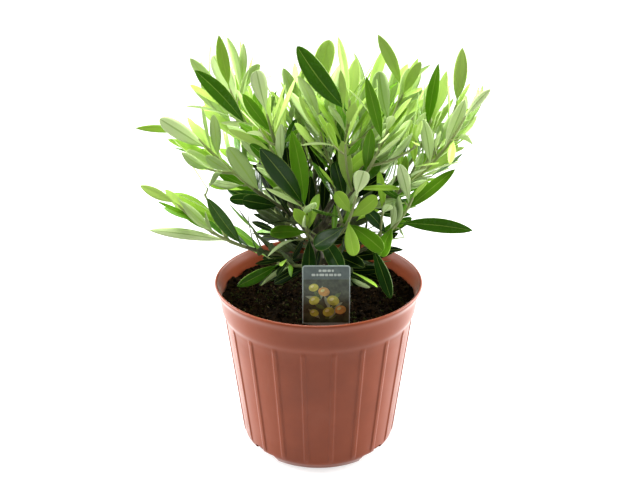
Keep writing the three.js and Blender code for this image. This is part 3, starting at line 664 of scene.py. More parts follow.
def side_axis(stem, plant, index, count, form, keys):
    """A side shoot that leaves a stem at a rising share of its length and turns up along it."""
    lowest, highest = form["between"]
    share = lowest + (highest - lowest) * (index + dice(*keys, index, 1)) / count
    heading = stem.heading(share * stem.length)
    side = unit(np.cross(heading, UP))
    swing = around(0, SIDE_CHANCE["turn"], *keys, index, 2)
    side = turned(side, heading, plant.roll + GOLDEN_TURN * index + swing)
    spread = around(form["spread"], SIDE_CHANCE["spread"], *keys, index, 3)
    first = turned(heading, side, spread)
    last = unit(mix(first, unit(heading + UP), form["lift"]))
    length = form["length"] * around(1, SIDE_CHANCE["length"], *keys, index, 4)
    start = stem.point(share * stem.length)
    return Axis(start, first, last, length, form["steps"]), share


def shoot_fits(axis, plant, canopy, limb_room, other_room):
    """A side shoot fits where it is clear of limbs, pot, soil, label and other masses' shoots."""
    outer = axis.points[1:]
    own, other = canopy.from_twigs(outer, plant.key)
    if in_pot(outer).any() or not canopy.clear_of_limbs(outer, limb_room):
        return False
    return bool((other > other_room).all())


def grow_twigs(limbs, canopy):
    """The stem of every mass, and the side twigs that the solids have."""
    plants = []
    for key, (name, length, turn, lean, count, size, droop, roll) in enumerate(MASSES):
        plant = Plant(name, key, turn, lean, size, droop, roll)
        axis = stem_axis(plant, length, limbs)
        plant.twigs.append(Twig(axis, 0))
        canopy.add_twig(axis, key)
        plants.append(plant)
    for plant, row in zip(plants, MASSES):
        count = row[4]
        stem = plant.twigs[0].axis
        form = {**SIDE_TWIG, "length": stem.length * SIDE_TWIG["share"]}
        for index in range(count):
            axis, share = side_axis(stem, plant, index, count, form, (plant.key,))
            if shoot_fits(axis, plant, canopy, ROOM["twig"], ROOM["other_twig"]):
                plant.twigs.append(Twig(axis, 1))
                canopy.add_twig(axis, plant.key)
    return plants


def leaf_at(twig, share, keys, plant, roll, attempt, scale):
    """One leaf at a share of its twig, varied by chance. The largest are past the middle."""
    spread_more, twist, size_share = attempt
    heading = twig.axis.heading(share * twig.axis.length)
    turn_axis = turned(unit(np.cross(heading, UP)), heading, roll + twist)
    closing = mix(LEAF["spread"][0], LEAF["spread"][1], share**0.9)
    spread = closing + around(0, 8, *keys, 1) + spread_more
    along = turned(heading, turn_axis, spread)
    along = unit(along - UP * plant.droop * (1 - 0.6 * share))
    side = turned(unit(np.cross(along, heading)), along, around(0, 22, *keys, 2))
    size = 0.72 + 0.33 * math.sin(math.pi * (0.12 + 0.7 * share))
    size *= around(1, 0.12, *keys, 3)
    length = LEAF["length"] * plant.leaf_size * size * size_share * scale
    width = length * LEAF["width"] * around(1, 0.14, *keys, 4) * (1 - 0.22 * share)
    return Leaf(
        root=twig.axis.point(share * twig.axis.length),
        along=along,
        side=side,
        face=unit(np.cross(side, along)),
        length=length,
        width=width,
        sag=length * around(LEAF["sag"], 0.08, *keys, 5),
        keys=keys,
    )


def leaf_fits(leaf, plant, canopy, guard, edge_guard, bulge):
    """A leaf fits where it meets nothing and stays in its mass's own space."""
    samples = leaf.samples()
    if in_pot(samples).any() or canopy.touches(leaf, samples, guard, edge_guard):
        return False
    if not canopy.clear_of_limbs(samples, ROOM["limb"]):
        return False
    own, other = canopy.from_twigs(samples, plant.key)
    if (other <= STEM_RADIUS + ROOM["limb"]).any() or (own <= ROOM["limb"]).any():
        return False
    own, other = canopy.from_twigs(leaf.points([0.6, 1], [0, 0]), plant.key)
    return bool((own < other + bulge).all())


def place_leaf(twig, share, keys, plant, roll, canopy, scale, rule):
    """Adds the first of a leaf's attempts that fits."""
    room = rule["guard"], rule["edge_guard"], rule["bulge"]
    for attempt in ATTEMPTS:
        leaf = leaf_at(twig, share, keys, plant, roll, attempt, scale)
        samples = leaf.samples()
        if not inside_crown(seen(samples)[0]).all() or canopy.hides_leading(samples):
            continue
        if leaf_fits(leaf, plant, canopy, *room):
            plant.leaves.append(leaf)
            canopy.add_leaf(leaf)
            twig.nodes.append(share)
            return


def leading_leaf(row, twig, attempt):
    """A leaf that shows its broad side in front, from its row in the table."""
    name, share, turn, lean, length, width, kind, side = row
    spread, twist, size = attempt
    along = direction(turn + twist / 2, lean + spread / 2)
    face = unit(TO_FRONT * side - along * np.dot(TO_FRONT * side, along))
    return Leaf(
        root=twig.axis.point(share * twig.axis.length),
        along=along,
        side=unit(np.cross(along, face)),
        face=face,
        length=length * size,
        width=width * size,
        sag=LEAF["leading_sag"] * length,
        keys=(turn, lean, length, width),
        kind=kind,
    )


def place_leading(plants, canopy):
    """The leading leaves, each the first of its attempts that fits."""
    named = {plant.name: plant for plant in plants}
    placed = []
    for row in LEADING:
        plant = named[row[0]]
        twig = plant.twigs[0]
        for attempt in ATTEMPTS:
            leaf = leading_leaf(row, twig, attempt)
            if leaf_fits(leaf, plant, canopy, LEAF["guard"], LEAF["edge_guard"], math.inf):
                plant.leaves.append(leaf)
                canopy.add_leaf(leaf)
                twig.nodes.append(row[1])
                placed.append(leaf)
                break
    canopy.note_leading(placed)


def grow_leaves(plants, canopy):
    """The pairs that the solids have."""
    for plant in plants:
        for number, twig in enumerate(plant.twigs):
            on_trunk = plant.name in TRUNK_STEMS
            first = FIRST_LEAF["trunk_stem" if on_trunk else "stem"]
            first = FIRST_LEAF["side"] if number else first
            spacing = LEAF["inner_spacing" if on_trunk else "spacing"]
            pairs = max(2, math.floor(twig.axis.length * (1 - first) / spacing + 0.5) + 1)
            for pair in range(pairs):
                share = mix(first, LAST_LEAF, pair / (pairs - 1))
                for half in (0, 1):
                    keys = (plant.key, number, pair, half)
                    roll = plant.roll + 90 * pair + 180 * half + around(0, 14, *keys, 6)
                    place_leaf(twig, share, keys, plant, roll, canopy, 1.0, LEAF)


def grow_finer(plants, canopy, limbs):
    """Finer twigs off every bough and shoot, and more pairs of smaller leaves along them all."""
    carriers = {}
    for plant in plants:
        carriers[plant.name] = list(plant.twigs)
        if plant.name in limbs:
            carriers[plant.name].append(Twig(limbs[plant.name][0], BOUGH))
        for parent in list(carriers[plant.name]):
            count = FINE_TWIG["count"][min(parent.rank, FINER)]
            for index in range(count):
                keys = (plant.key, SECOND_KEY + parent.rank)
                axis, share = side_axis(parent.axis, plant, index, count, FINE_TWIG, keys)
                if shoot_fits(axis, plant, canopy, ROOM["limb"], STEM_RADIUS + ROOM["limb"]):
                    twig = Twig(axis, FINER)
                    plant.twigs.append(twig)
                    carriers[plant.name].append(twig)
                    parent.nodes.append(share)
                    canopy.add_twig(axis, plant.key)
    for plant in plants:
        for number, twig in enumerate(carriers[plant.name]):
            pairs = max(2, round(twig.axis.length / FINE_SPACING[twig.rank]))
            for pair in range(pairs):
                share = FINE_LEAF["first"] + FINE_LEAF["run"] * (pair + 0.5) / pairs
                for half in (0, 1):
                    keys = (plant.key, SECOND_KEY + number, pair, half)
                    roll = plant.roll + FINE_LEAF["turn"] + 90 * pair + 180 * half
                    roll += around(0, 20, *keys, 6)
                    scale = FINE_LEAF["size"] * (FINE_LEAF["twig_size"] if twig.rank == FINER else 1)
                    place_leaf(twig, share, keys, plant, roll, canopy, scale, FINE_LEAF)


# Meshes
class Shape:
    """Points and faces of one piece, gathered in millimetres."""

    def __init__(self):
        self.points, self.faces, self.slots, self.count = [], [], [], 0

    def add(self, points, faces, slots=0):
        points = np.asarray(points, float).reshape(-1, 3)
        self.points.append(points)
        self.faces += [tuple(int(i) + self.count for i in face) for face in faces]
        self.slots += [slots] * len(faces) if isinstance(slots, int) else list(slots)
        self.count += len(points)

    def piece(self, name, slot_name, materials, replaced=()):
        """The finished object, riding on the part, in place of the solids it stands for."""
        mesh = bpy.data.meshes.new(name)
        mesh.from_pydata((np.concatenate(self.points) * MM).tolist(), [], self.faces)
        for material in materials:
            mesh.materials.append(material)
        mesh.polygons.foreach_set("material_index", np.array(self.slots, np.int32))
        mesh.polygons.foreach_set("use_smooth", np.ones(len(self.faces), bool))
        mesh.update()
        made = bpy.data.objects.new(name, mesh)
        bpy.context.scene.collection.objects.link(made)
        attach(made, "root")
        if replaced:
            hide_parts(*replaced)
        return made


def tube_faces(rings, columns, closed_ends=True):
    """Quads between rings that run anticlockwise about the way the tube goes, and its ends."""
    faces = []
    for ring in range(rings - 1):
        base = ring * columns
        for column in range(columns):
            after = (column + 1) % columns
            faces.append(
                (base + column, base + after, base + columns + after, base + columns + column)
            )
    if closed_ends:
        faces.append(tuple(range(columns - 1, -1, -1)))
        last = (rings - 1) * columns
        faces.append(tuple(range(last, last + columns)))
    return faces


def section_frames(points):
    """Two directions across a path at each of its points, turning as little as they can."""
    tangents = np.gradient(points, axis=0)
    tangents /= np.linalg.norm(tangents, axis=1)[:, None]
    across = unit(np.cross(tangents[0], [0.3, 0.9, 0.1]))
    sides, fronts = [], []
    for tangent in tangents:
        across = unit(across - tangent * np.dot(across, tangent))
        sides.append(across)
        fronts.append(np.cross(tangent, across))
    return np.array(sides), np.array(fronts)


def tube_points(path, radii, sides, relief=None):
    """Rings of points round a path. relief(ring, angle) gives shares to add to the radius."""
    across, front = section_frames(path)
    angles = np.arange(sides) * 2 * math.pi / sides
    radii = np.asarray(radii, float)[:, None] * np.ones(sides)
    if relief is not None:
        radii = radii * (1 + relief)
    out = np.cos(angles)[None, :, None] * across[:, None]
    out = out + np.sin(angles)[None, :, None] * front[:, None]
    return path[:, None] + out * radii[:, :, None]


# Finishes
class Finish:
    """A node material while it is being put together."""

    def __init__(self, name, colour, roughness, **sockets):
        self.material = bpy.data.materials.new(name)
        self.material.use_nodes = True
        self.tree = self.material.node_tree
        self.shader = self.tree.nodes["Principled BSDF"]
        self.shader.inputs["Base Color"].default_value = (*colour, 1)
        self.shader.inputs["Roughness"].default_value = roughness
        for socket, value in sockets.items():
            self.shader.inputs[socket.replace("_", " ")].default_value = value
        self.place = self.tree.nodes.new("ShaderNodeTexCoord").outputs["Object"]

    def node(self, kind, links=None, **sockets):
        node = self.tree.nodes.new(kind)
        for socket, value in sockets.items():
            node.inputs[socket.replace("_", " ")].default_value = value
        for socket, source in (links or {}).items():
            self.tree.links.new(source, node.inputs[socket])
        return node

    def stretched(self, scale):
        mapping = self.node("ShaderNodeMapping", {"Vector": self.place})
        mapping.inputs["Scale"].default_value = scale
        return mapping.outputs["Vector"]

    def noise(self, size, detail=4.0, roughness=0.55, stretch=None):
        """Noise whose blots are about size millimetres across."""
        place = self.place if stretch is None else self.stretched(stretch)
        made = self.node(
            "ShaderNodeTexNoise",
            {"Vector": place},
            Scale=1000 / size,
            Detail=detail,
            Roughness=roughness,
        )
        return made.outputs["Fac"]

    def between(self, fac, low, high):
        """Spreads the middle of a noise over the range from low to high."""
        made = self.node("ShaderNodeMapRange", {"Value": fac})
        made.inputs["From Min"].default_value = 0.3
        made.inputs["From Max"].default_value = 0.7
        made.inputs["To Min"].default_value = low
        made.inputs["To Max"].default_value = high
        return made.outputs["Result"]

    def colours(self, fac, stops):
        """Sets the surface's colour by a noise: stops are places from 0 to 1 and colours."""
        ramp = self.node("ShaderNodeValToRGB", {"Fac": fac})
        elements = ramp.color_ramp.elements
        while len(elements) < len(stops):
            elements.new(0.5)
        for element, (place, colour) in zip(elements, stops):
            element.position = place
            element.color = (*colour, 1)
        self.tree.links.new(ramp.outputs["Color"], self.shader.inputs["Base Color"])

    def rough(self, fac, low, high):
        result = self.between(fac, low, high)
        self.tree.links.new(result, self.shader.inputs["Roughness"])

    def bumps(self, *layers):
        """Layers of relief: each a noise and its height in millimetres."""
        normal = None
        for fac, height in layers:
            bump = self.node("ShaderNodeBump", {"Height": fac}, Distance=height * MM)
            bump.inputs["Strength"].default_value = 1.0
            if normal is not None:
                self.tree.links.new(normal, bump.inputs["Normal"])
            normal = bump.outputs["Normal"]
        self.tree.links.new(normal, self.shader.inputs["Normal"])
        return self.material


def shade(colour, share):
    return tuple(min(1.0, part * share) for part in colour)


def blend_colour(first, last, share):
    return tuple(a + (b - a) * share for a, b in zip(first, last))


# Settings
def colour_property(name, text, default):
    return FloatVectorProperty(
        name=name, description=text, subtype="COLOR", size=3, min=0, max=1, default=default
    )


def length_property(name, text, default):
    return FloatProperty(name=name, description=text, unit="LENGTH", min=0, default=default)


class OlivePotSettings(PropertyGroup):
    rib_width: length_property("Rib width", "Width of each upright rib's flat", 0.0036)
    rib_proud: length_property("Rib height", "How far the ribs stand out of the wall", 0.0008)
    drain_width: length_property("Slot width", "Width of each drain slot", 0.012)
    drain_height: length_property("Slot height", "Height of each drain slot", 0.0036)
    colour: colour_property("Plastic", "Colour of the pot's plastic", (0.215, 0.044, 0.014))
    dust: colour_property("Dust", "Colour of the faint dust on it", (0.24, 0.066, 0.034))


class OliveSoilSettings(PropertyGroup):
    lump: length_property("Lump height", "How far the surface rises and falls", 0.0034)
    crumbs: IntProperty(name="Crumbs", description="Loose crumbs", default=1500, min=0)
    moss: IntProperty(name="Moss tufts", description="Tufts of moss", default=1500, min=0)
    flecks: IntProperty(name="Flecks", description="Pale bits of bark", default=150, min=0)
    colour: colour_property("Soil", "Colour of moist soil", (0.005, 0.0026, 0.0008))
    moss_colour: colour_property("Moss", "Colour of the moss", (0.022, 0.032, 0.003))
    fleck_colour: colour_property("Bark bits", "Colour of the pale bits", (0.09, 0.06, 0.03))


class OliveLabelSettings(PropertyGroup):
    border: length_property("Border", "Clear edge round the print", 0.0009)
    header: length_property("Header", "Height of the plain band at the top", 0.012)
    card: colour_property("Card", "Colour of the plastic card", (0.3, 0.37, 0.34))
    band: colour_property("Band", "Colour of the header band", (0.075, 0.11, 0.1))
    ground: colour_property("Ground", "Ground of the printed panel", (0.045, 0.065, 0.03))


class OliveBarkSettings(PropertyGroup):
    relief: FloatProperty(
        name="Relief", description="Bark ridges as a share of the radius", default=0.1, min=0
    )
    colour: colour_property("Bark", "Colour of the young bark", (0.07, 0.06, 0.036))
    pale: colour_property("Pale bark", "Colour of its pale patches", (0.17, 0.155, 0.1))


class OliveLeafSettings(PropertyGroup):
    fold: FloatProperty(
        name="Fold", description="How far the halves rise from the midrib", default=0.2, min=0
    )
    thickness: length_property("Thickness", "Thickness of a blade", 0.0004)
    slim: FloatProperty(
        name="Slimness", description="Share of its own room that a blade fills", default=0.88, min=0
    )
    lime: colour_property("Lime", "Youngest leaves", (0.36, 0.53, 0.11))
    spring: colour_property("Spring green", "Young leaves", (0.26, 0.45, 0.045))
    mid: colour_property("Mid green", "Grown leaves", (0.1, 0.255, 0.007))
    deep: colour_property("Deep green", "Older leaves", (0.036, 0.115, 0.004))
    dark: colour_property("Dark green", "Oldest glossy leaves", (0.012, 0.05, 0.003))
    # Painted shade: the near-black green that older leaves deep in the crown take, in place of the
    # shadow there
    shade: colour_property("Shaded green", "Leaves deep in the crown", (0.003, 0.012, 0.001))
    silver: colour_property("Underside", "Felted underside", (0.5, 0.64, 0.29))
    shoot: colour_property("Shoot", "Colour of the young shoots", (0.24, 0.28, 0.1))


class OliveStageSettings(PropertyGroup):
    elevation: FloatProperty(
        name="Elevation",
        description="How far the camera looks down, in degrees",
        default=23.8267,
    )
    distance: length_property("Distance", "Camera to the point it looks at", 1.40807)
    aim: length_property("Aim height", "Height of that point on the pot's axis", 0.201954)
    shift: FloatProperty(
        name="Shift", description="Sideways, as a share of the picture's width", default=1.4488 / 640
    )
    focal_mm: FloatProperty(name="Focal length", description="In millimetres", default=87.5)
    side_power: FloatProperty(name="Side lights", description="In watts", default=54)
    top_power: FloatProperty(name="Top light", description="In watts", default=64)
    sky: FloatProperty(name="Surround", description="Strength of the white room", default=0.15)
    floor: colour_property("Floor", "Colour of the plain floor", (0.4, 0.4, 0.4))
    floor_glow: FloatProperty(name="Floor glow", description="Light of the floor", default=0.72)
    front_glow: FloatProperty(name="Front glow", description="Its light in front", default=0.25)


# Pot
WALL_COLUMNS = 14  # columns of the wall between two ribs
RIB_RUN_OUT = (5, 3.5)  # how far up the wall a rib takes to rise at its foot and to end at its top
SLOT_REACH = (62.0, 76.0)  # how far from the axis the drain slots are cut
SLOT_SIDES = 20


def plastic_finish(name, settings):
    finish = Finish(name, settings.colour, 0.36, Specular_IOR_Level=0.22, Sheen_Weight=0.6)
    finish.shader.inputs["Sheen Roughness"].default_value = 0.25
    colour, dust = tuple(settings.colour), tuple(settings.dust)
    cloud = finish.noise(38, detail=5)
    finish.colours(
        cloud,
        [(0.3, shade(colour, 0.88)), (0.55, colour), (0.8, blend_colour(colour, dust, 0.4))],
    )
    finish.rough(finish.noise(30, detail=2), 0.32, 0.4)
    finish.bumps((finish.noise(26), 0.12))
    return finish.material


def rib_columns(settings):
    """Columns over one rib and the wall up to the next: arcs, shares between, and heights."""
    half = settings.rib_width / MM / 2
    arcs = [half + 0.75, half + 0.35, half, half - 0.6]
    proud = [0.0, 0.35, 0.9, 1.0]
    rib = [(-arc, height) for arc, height in zip(arcs, proud)] + [(0.0, 1.0)]
    return rib + [(-arc, height) for arc, height in reversed(rib[:-1])]


def wall_points(profile, settings, ribbed):
    """Rings of one skin of the pot's wall, with its columns pushed out along the ribs."""
    rib = rib_columns(settings)
    pitch = 2 * math.pi / POT["ribs"]
    rings = []
    for radius, height in profile:
        rise = smooth(POT["rib_foot"], POT["rib_foot"] + RIB_RUN_OUT[0], height)
        rise *= 1 - smooth(POT["rib_top"] - RIB_RUN_OUT[1], POT["rib_top"], height)
        rise *= settings.rib_proud / MM * ribbed
        ring = []
        for index in range(POT["ribs"]):
            centre = -math.pi / 2 + pitch * (index + 0.5)
            for arc, share in rib:
                ring.append((centre + arc / radius, radius + rise * share))
            edge = rib[-1][0] / radius
            for step in range(1, WALL_COLUMNS):
                angle = edge + (pitch - 2 * edge) * step / WALL_COLUMNS
                ring.append((centre + angle, radius))
        rings.append([(r * math.cos(a), r * math.sin(a), height) for a, r in ring])
    return np.array(rings)


def foot_gap(points):
    """1 in the openings between the feet and 0 on the feet, with sloping ends."""
    angles = np.degrees(np.arctan2(points[..., 1], points[..., 0]))
    turn = 360 / POT["feet"]
    offset = np.abs((angles + 90) % turn - turn / 2)
    return 1 - smooth(POT["foot_gap"] / 2 - 0.7, POT["foot_gap"] / 2 + 0.7, offset)


def fine_profile():
    """The pot's section: from the hub under its base up the outside, and down the inside."""
    wall = POT["wall"]
    under = [
        (1, 0.4),
        (POT["hub_radius"] - 1, 0.4),
        (POT["hub_radius"], 1.2),
        (POT["hub_radius"] + 0.4, POT["foot_height"] - 0.1),
        (30, POT["foot_height"]),
        (POT["skirt_inner"] - 1, POT["foot_height"]),
        (POT["skirt_inner"], POT["foot_height"] - 0.6),
        (POT["skirt_inner"] + 0.2, 1),
        (POT["skirt_inner"] + 0.8, 0),
        (60, 0),
        (61.8, 0),
    ]
    corner = [(62.7, 0.15), (63.7, 1.1), (64.9, 2.7), (65.9, 3.9), (66.9, 5.1), (67.9, 6.3)]
    corner += [(68.7, 7.5), (69.3, 8.8), (69.7, 10.2), (69.95, 11.6), (70.15, 13.3)]
    straight = [(pot_radius(z), z) for z in np.arange(18, 127, 6.0)]
    collar = [(85.6, 127), (85.9, 128.8), (86.3, 130.4), (86.9, 132), (87.6, 133.5), (88.3, 135)]
    collar += [(88.8, 136.4), (89.2, 138.2), (89.7, 141), (90.4, 147), (91, 151), (91.4, 153)]
    lip = [(91.9, 154.6), (92.6, 156.1), (93.4, 157.5), (94.2, 158.9), (94.8, 160.2)]
    lip += [(94.95, 161.3)]
    inner = [(94.5, 162.1), (93.9, 162.5), (93.2, 162.5), (92.6, 162.1), (92.2, 161)]
    inner += [(91.6, 158.5), (90.5, 156), (90.0, 152), (89.2, 145), (88.3, 137)]
    inner += [(84.6, 131), (84.1, 128)]
    inner += [(pot_radius(z) - wall, z) for z in np.arange(115, 19, -16.0)]
    inner += [(68.2, 12), (66, POT["floor_top"]), (40, POT["floor_top"]), (1, POT["floor_top"])]
    return under + corner + straight + collar + lip, inner


class OLIVE_OT_pot(Operator):
    """Make the ribbed plastic pot on its three feet"""

    bl_idname = "olive.pot"
    bl_label = "Pot"

    def execute(self, context):
        settings = context.scene.olive_pot
        outer, inner = fine_profile()
        outside, inside = wall_points(outer, settings, 1), wall_points(inner, settings, 0)
        height = outside[..., 2]
        radii = np.array([radius for radius, level in outer])[:, None]
        skirt = (radii > POT["skirt_inner"] - 0.5) & (height < POT["foot_height"] + 1)
        raised = np.maximum(POT["foot_height"] + height * 0.1, height)
        outside[..., 2] = mix(height, raised, foot_gap(outside) * skirt)
        rings = np.concatenate([outside, inside])
        shape = Shape()
        shape.add(rings, tube_faces(len(rings), rings.shape[1]))
        made = shape.piece(
            "pot_shell", "pot", [plastic_finish("moulded terracotta plastic", settings)], ["pot"]
        )
        cut_drains(made, settings)
        return {"FINISHED"}


def cut_drains(pot, settings):
    """Cuts slots with round ends through the pot's lower corner over the gaps in its feet."""
    width, height = settings.drain_width / MM, settings.drain_height / MM
    shape = Shape()
    angles = np.arange(SLOT_SIDES) * 2 * math.pi / SLOT_SIDES
    flat = np.sign(np.cos(angles)) * (width - height) / 2
    for turn in POT["drain_turns"]:
        out = direction(turn, 90)
        side = direction(turn + 90, 90)
        ring = (flat + np.cos(angles) * height / 2)[:, None] * side
        ring = ring + (np.sin(angles) * height / 2 + POT["drain_level"])[:, None] * UP
        rings = [ring + out * reach for reach in SLOT_REACH]
        shape.add(rings, tube_faces(2, SLOT_SIDES))
    mesh = bpy.data.meshes.new("drain_cutter")
    mesh.from_pydata((np.concatenate(shape.points) * MM).tolist(), [], shape.faces)
    cutter = bpy.data.objects.new("drain_cutter", mesh)
    bpy.context.scene.collection.objects.link(cutter)
    cut = pot.modifiers.new("drains", "BOOLEAN")
    cut.operation = "DIFFERENCE"
    cut.solver = "EXACT"
    cut.object = cutter
    graph = bpy.context.evaluated_depsgraph_get()
    result = bpy.data.meshes.new_from_object(pot.evaluated_get(graph))
    pot.modifiers.clear()
    pot.data = result
    bpy.data.objects.remove(cutter)


# Soil
SOIL_COLUMNS, SOIL_RINGS = 300, 96
SOIL_SEED = 11
MOSS_TUFT = 6  # grains that stand together
STAKE_ROOM = 3  # kept free of loose bits before and behind the label's stake


def soil_height(x, y, lump):
    """Height of the soil's surface, with its broad swells and its fine crumble."""
    out = math.hypot(x, y)
    rise = smooth(SOIL_LEVEL[0], SOIL_LEVEL[1], out)
    broad = math.sin(0.11 * x + 1.3) * math.cos(0.09 * y)
    fine = math.sin(0.19 * y + 0.13 * x)
    height = rise * SOIL_LUMP * (0.6 * broad + 0.4 * fine)
    rough = noise.fractal(Vector((x, y, 3.0)) / 9, 0.7, 2.1, 4)
    crumble = noise.fractal(Vector((x, y, 9.0)) / 2.6, 0.8, 2.0, 3)
    return SOIL_TOP + height + lump * (0.55 * rough + 0.26 * crumble) * (0.25 + 0.75 * rise)


def crumb(shape, centre, size, rng, stretch=(1, 1, 1)):
    """One small uneven lump."""
    ball = bmesh.new()
    bmesh.ops.create_icosphere(ball, subdivisions=1, radius=1)
    points = np.array([vertex.co for vertex in ball.verts])
    faces = [[vertex.index for vertex in face.verts] for face in ball.faces]
    ball.free()
    points *= rng.uniform(0.7, 1.3, (len(points), 1))
    turn, _ = np.linalg.qr(rng.normal(size=(3, 3)))
    turn *= np.sign(np.linalg.det(turn))
    points = (points * np.array(stretch)) @ turn.T * size
    shape.add(points + centre, faces)


def scattered(count, rng, reach):
    """Places spread evenly over the soil, clear of the trunk and the label's stake."""
    places = []
    while len(places) < count:
        x, y = rng.uniform(-reach, reach, 2)
        out = math.hypot(x, y)
        beside = abs(x - LABEL["centre"]) < LABEL["stake_width"]
        at_stake = beside and abs(y - LABEL["y"]) < STAKE_ROOM
        if trunk_radius(0) < out < reach and not at_stake:
            places.append((x, y))
    return places


class OLIVE_OT_soil(Operator):
    """Make the crumbly soil with its moss and pale bits of bark"""

    bl_idname = "olive.soil"
    bl_label = "Soil"

    def execute(self, context):
        settings = context.scene.olive_soil
        lump = settings.lump / MM
        edge = pot_radius(SOIL_TOP) - POT["wall"] - GAP
        soil = Finish("moist potting soil", settings.colour, 0.85, Specular_IOR_Level=0.02)
        colour = tuple(settings.colour)
        stops = [(0.32, 0.3), (0.48, 1), (0.6, 3), (0.72, 8)]
        grains = soil.noise(4.5, detail=8, roughness=0.7)
        soil.colours(grains, [(place, shade(colour, share)) for place, share in stops])
        soil.rough(soil.noise(3, detail=4), 0.6, 1.0)
        soil.bumps((soil.noise(1.1, detail=4, roughness=0.7), 0.6))
        self.surface(lump, edge, soil.material)
        self.loose(settings, lump, edge, soil.material)
        return {"FINISHED"}

    def surface(self, lump, edge, material):
        """The body of the soil: its rough top, its side and its bottom."""
        shape, rings = Shape(), []
        angles = np.arange(SOIL_COLUMNS) * 2 * math.pi / SOIL_COLUMNS
        low = POT["floor_top"] + GAP
        below = [(60, low), (65.5, low), (67.5, low + 4), (76, 80)]
        below += [(edge - 1.5, 138), (edge, SOIL_TOP - 2)]
        for radius, height in below:
            rings.append([(radius * math.cos(a), radius * math.sin(a), height) for a in angles])
        for radius in np.linspace(edge, 1.0, SOIL_RINGS):
            ring = [(radius * math.cos(a), radius * math.sin(a)) for a in angles]
            rings.append([(x, y, soil_height(x, y, lump)) for x, y in ring])
        shape.add(rings, tube_faces(len(rings), SOIL_COLUMNS))
        shape.piece("soil_body", "soil", [material], ["soil"])

    def loose(self, settings, lump, edge, material):
        """Crumbs, moss and pale bits that lie on the surface."""
        rng = np.random.default_rng(SOIL_SEED)
        crumbs, moss, flecks = Shape(), Shape(), Shape()
        for x, y in scattered(settings.crumbs, rng, edge - 2):
            size = rng.uniform(0.6, 1.5) ** 2
            height = soil_height(x, y, lump) + 0.2 * size
            crumb(crumbs, (x, y, height), size, rng)
        crumbs.piece("soil_crumbs", "soil", [material])
        for x, y in scattered(settings.moss // MOSS_TUFT, rng, edge - 3):
            for _ in range(MOSS_TUFT):
                dx, dy = rng.normal(0, 1.5, 2)
                size = rng.uniform(0.35, 0.8)
                height = soil_height(x + dx, y + dy, lump) + 0.3
                crumb(moss, (x + dx, y + dy, height), size, rng)
        green = Finish("moss", settings.moss_colour, 0.9, Specular_IOR_Level=0.1)
        green.rough(green.noise(1), 0.8, 1.0)
        green.bumps((green.noise(0.4), 0.3))
        moss.piece("soil_moss", "soil", [green.material])
        for x, y in scattered(settings.flecks, rng, edge - 3):
            size = rng.uniform(0.35, 0.85)
            height = soil_height(x, y, lump) + 0.4
            long = rng.uniform(1.2, 3.2)
            crumb(flecks, (x, y, height), size, rng, stretch=(long, 0.7, 0.35))
        pale = Finish("pale bark bits", settings.fleck_colour, 0.8, Specular_IOR_Level=0.1)
        pale.rough(pale.noise(1.5), 0.7, 0.95)
        pale.bumps((pale.noise(0.5), 0.2))
        flecks.piece("soil_flecks", "soil", [pale.material])


# Label
ROUND_STEPS = 8  # points of a round corner
CARD_EDGE = (0.2, 0.25)  # depth and width of the card's worn edge
PRINT_STEPS = (0.05, 0.1, 0.15, 0.2)  # how far panels, ink, fruit and light stand off the card
PRINT_LAYER = 0.003  # between shapes of one kind that lie over each other
ROWS = {"first": 3.9, "pitch": 4, "half": 1.1, "gap": 0.8}
DASHES = ((2.4, 3.6, 2.8, 1.9), (3.3, 1.9, 4.2, 2.6, 3.5, 2.2, 3))  # in the header's two rows
FRUIT = (  # places across and up from the panel's foot, width, turn, and whether it is ripe
    (-11, 33, 8.6, 20, False),
    (-2, 29, 10, -15, True),
    (-10.5, 20.5, 9.4, 30, False),
    (6, 20.5, 11, -25, False),
    (12.5, 11.5, 9.8, 15, True),
    (2, 9.5, 10.4, 25, False),
    (-10.5, 8.5, 8, -20, False),
)
SPRIG = {"leaves": 12, "first": 15, "fan": 150, "width": 3.6}
PRINT_COLOURS = {  # colours of the print's own shapes, and how far each varies
    "pale rules": ((0.5, 0.56, 0.5), 0.05),
    "printed leaves": ((0.1, 0.16, 0.04), 0.35),
    "printed fruit": ((0.5, 0.5, 0.07), 0.3),
    "printed light": ((0.72, 0.7, 0.28), 0.15),
    "pale printed leaves": ((0.3, 0.36, 0.22), 0.3),
    "ripe printed fruit": ((0.62, 0.36, 0.09), 0.3),
}
HEADER, PANEL, RULES, LEAVES, YOUNG_FRUIT, LIGHT, PALE_LEAVES, RIPE_FRUIT = range(8)


def prism(shape, outline, front, back, slot):
    """A flat plate from an outline in x and z, between two places in y."""
    x, z = np.array(outline).T
    area = np.dot(x, np.roll(z, -1)) - np.dot(np.roll(x, -1), z)
    outline = outline if area >= 0 else outline[::-1]
    rings = [[(x, y, z) for x, z in outline] for y in (back, front)]
    shape.add(rings, tube_faces(2, len(outline)), slot)


def rounded(centre, bottom, top, half, radius, lower_radius=0.0):
    """A rectangle's outline with round upper corners and, if asked, round lower ones."""
    outline = []
    corners = [
        (half, top, radius, 0),
        (-half, top, radius, 90),
        (-half, bottom, lower_radius, 180),
        (half, bottom, lower_radius, 270),
    ]
    for x, z, r, start in corners:
        steps = ROUND_STEPS if r else 1
        for step in range(steps):
            angle = math.radians(start + 90 * step / max(steps - 1, 1))
            cx = centre + x - math.copysign(r, x)
            cz = z - (r if z == top else -r)
            outline.append((cx + r * math.cos(angle), cz + r * math.sin(angle)))
    return outline


def lens(foot, turn, length, width, steps=9):
    """A small leaf's outline from its foot, pointing at an angle in degrees."""
    there = [(step / (steps - 1), 1) for step in range(steps)]
    back = [(1 - share, -1) for share, sign in there[1:-1]]
    flat = []
    for share, sign in there + back:
        out = sign * width / 2 * math.sin(math.pi * share) ** 0.8
        flat.append((share * length, out))
    return laid(flat, foot, turn)


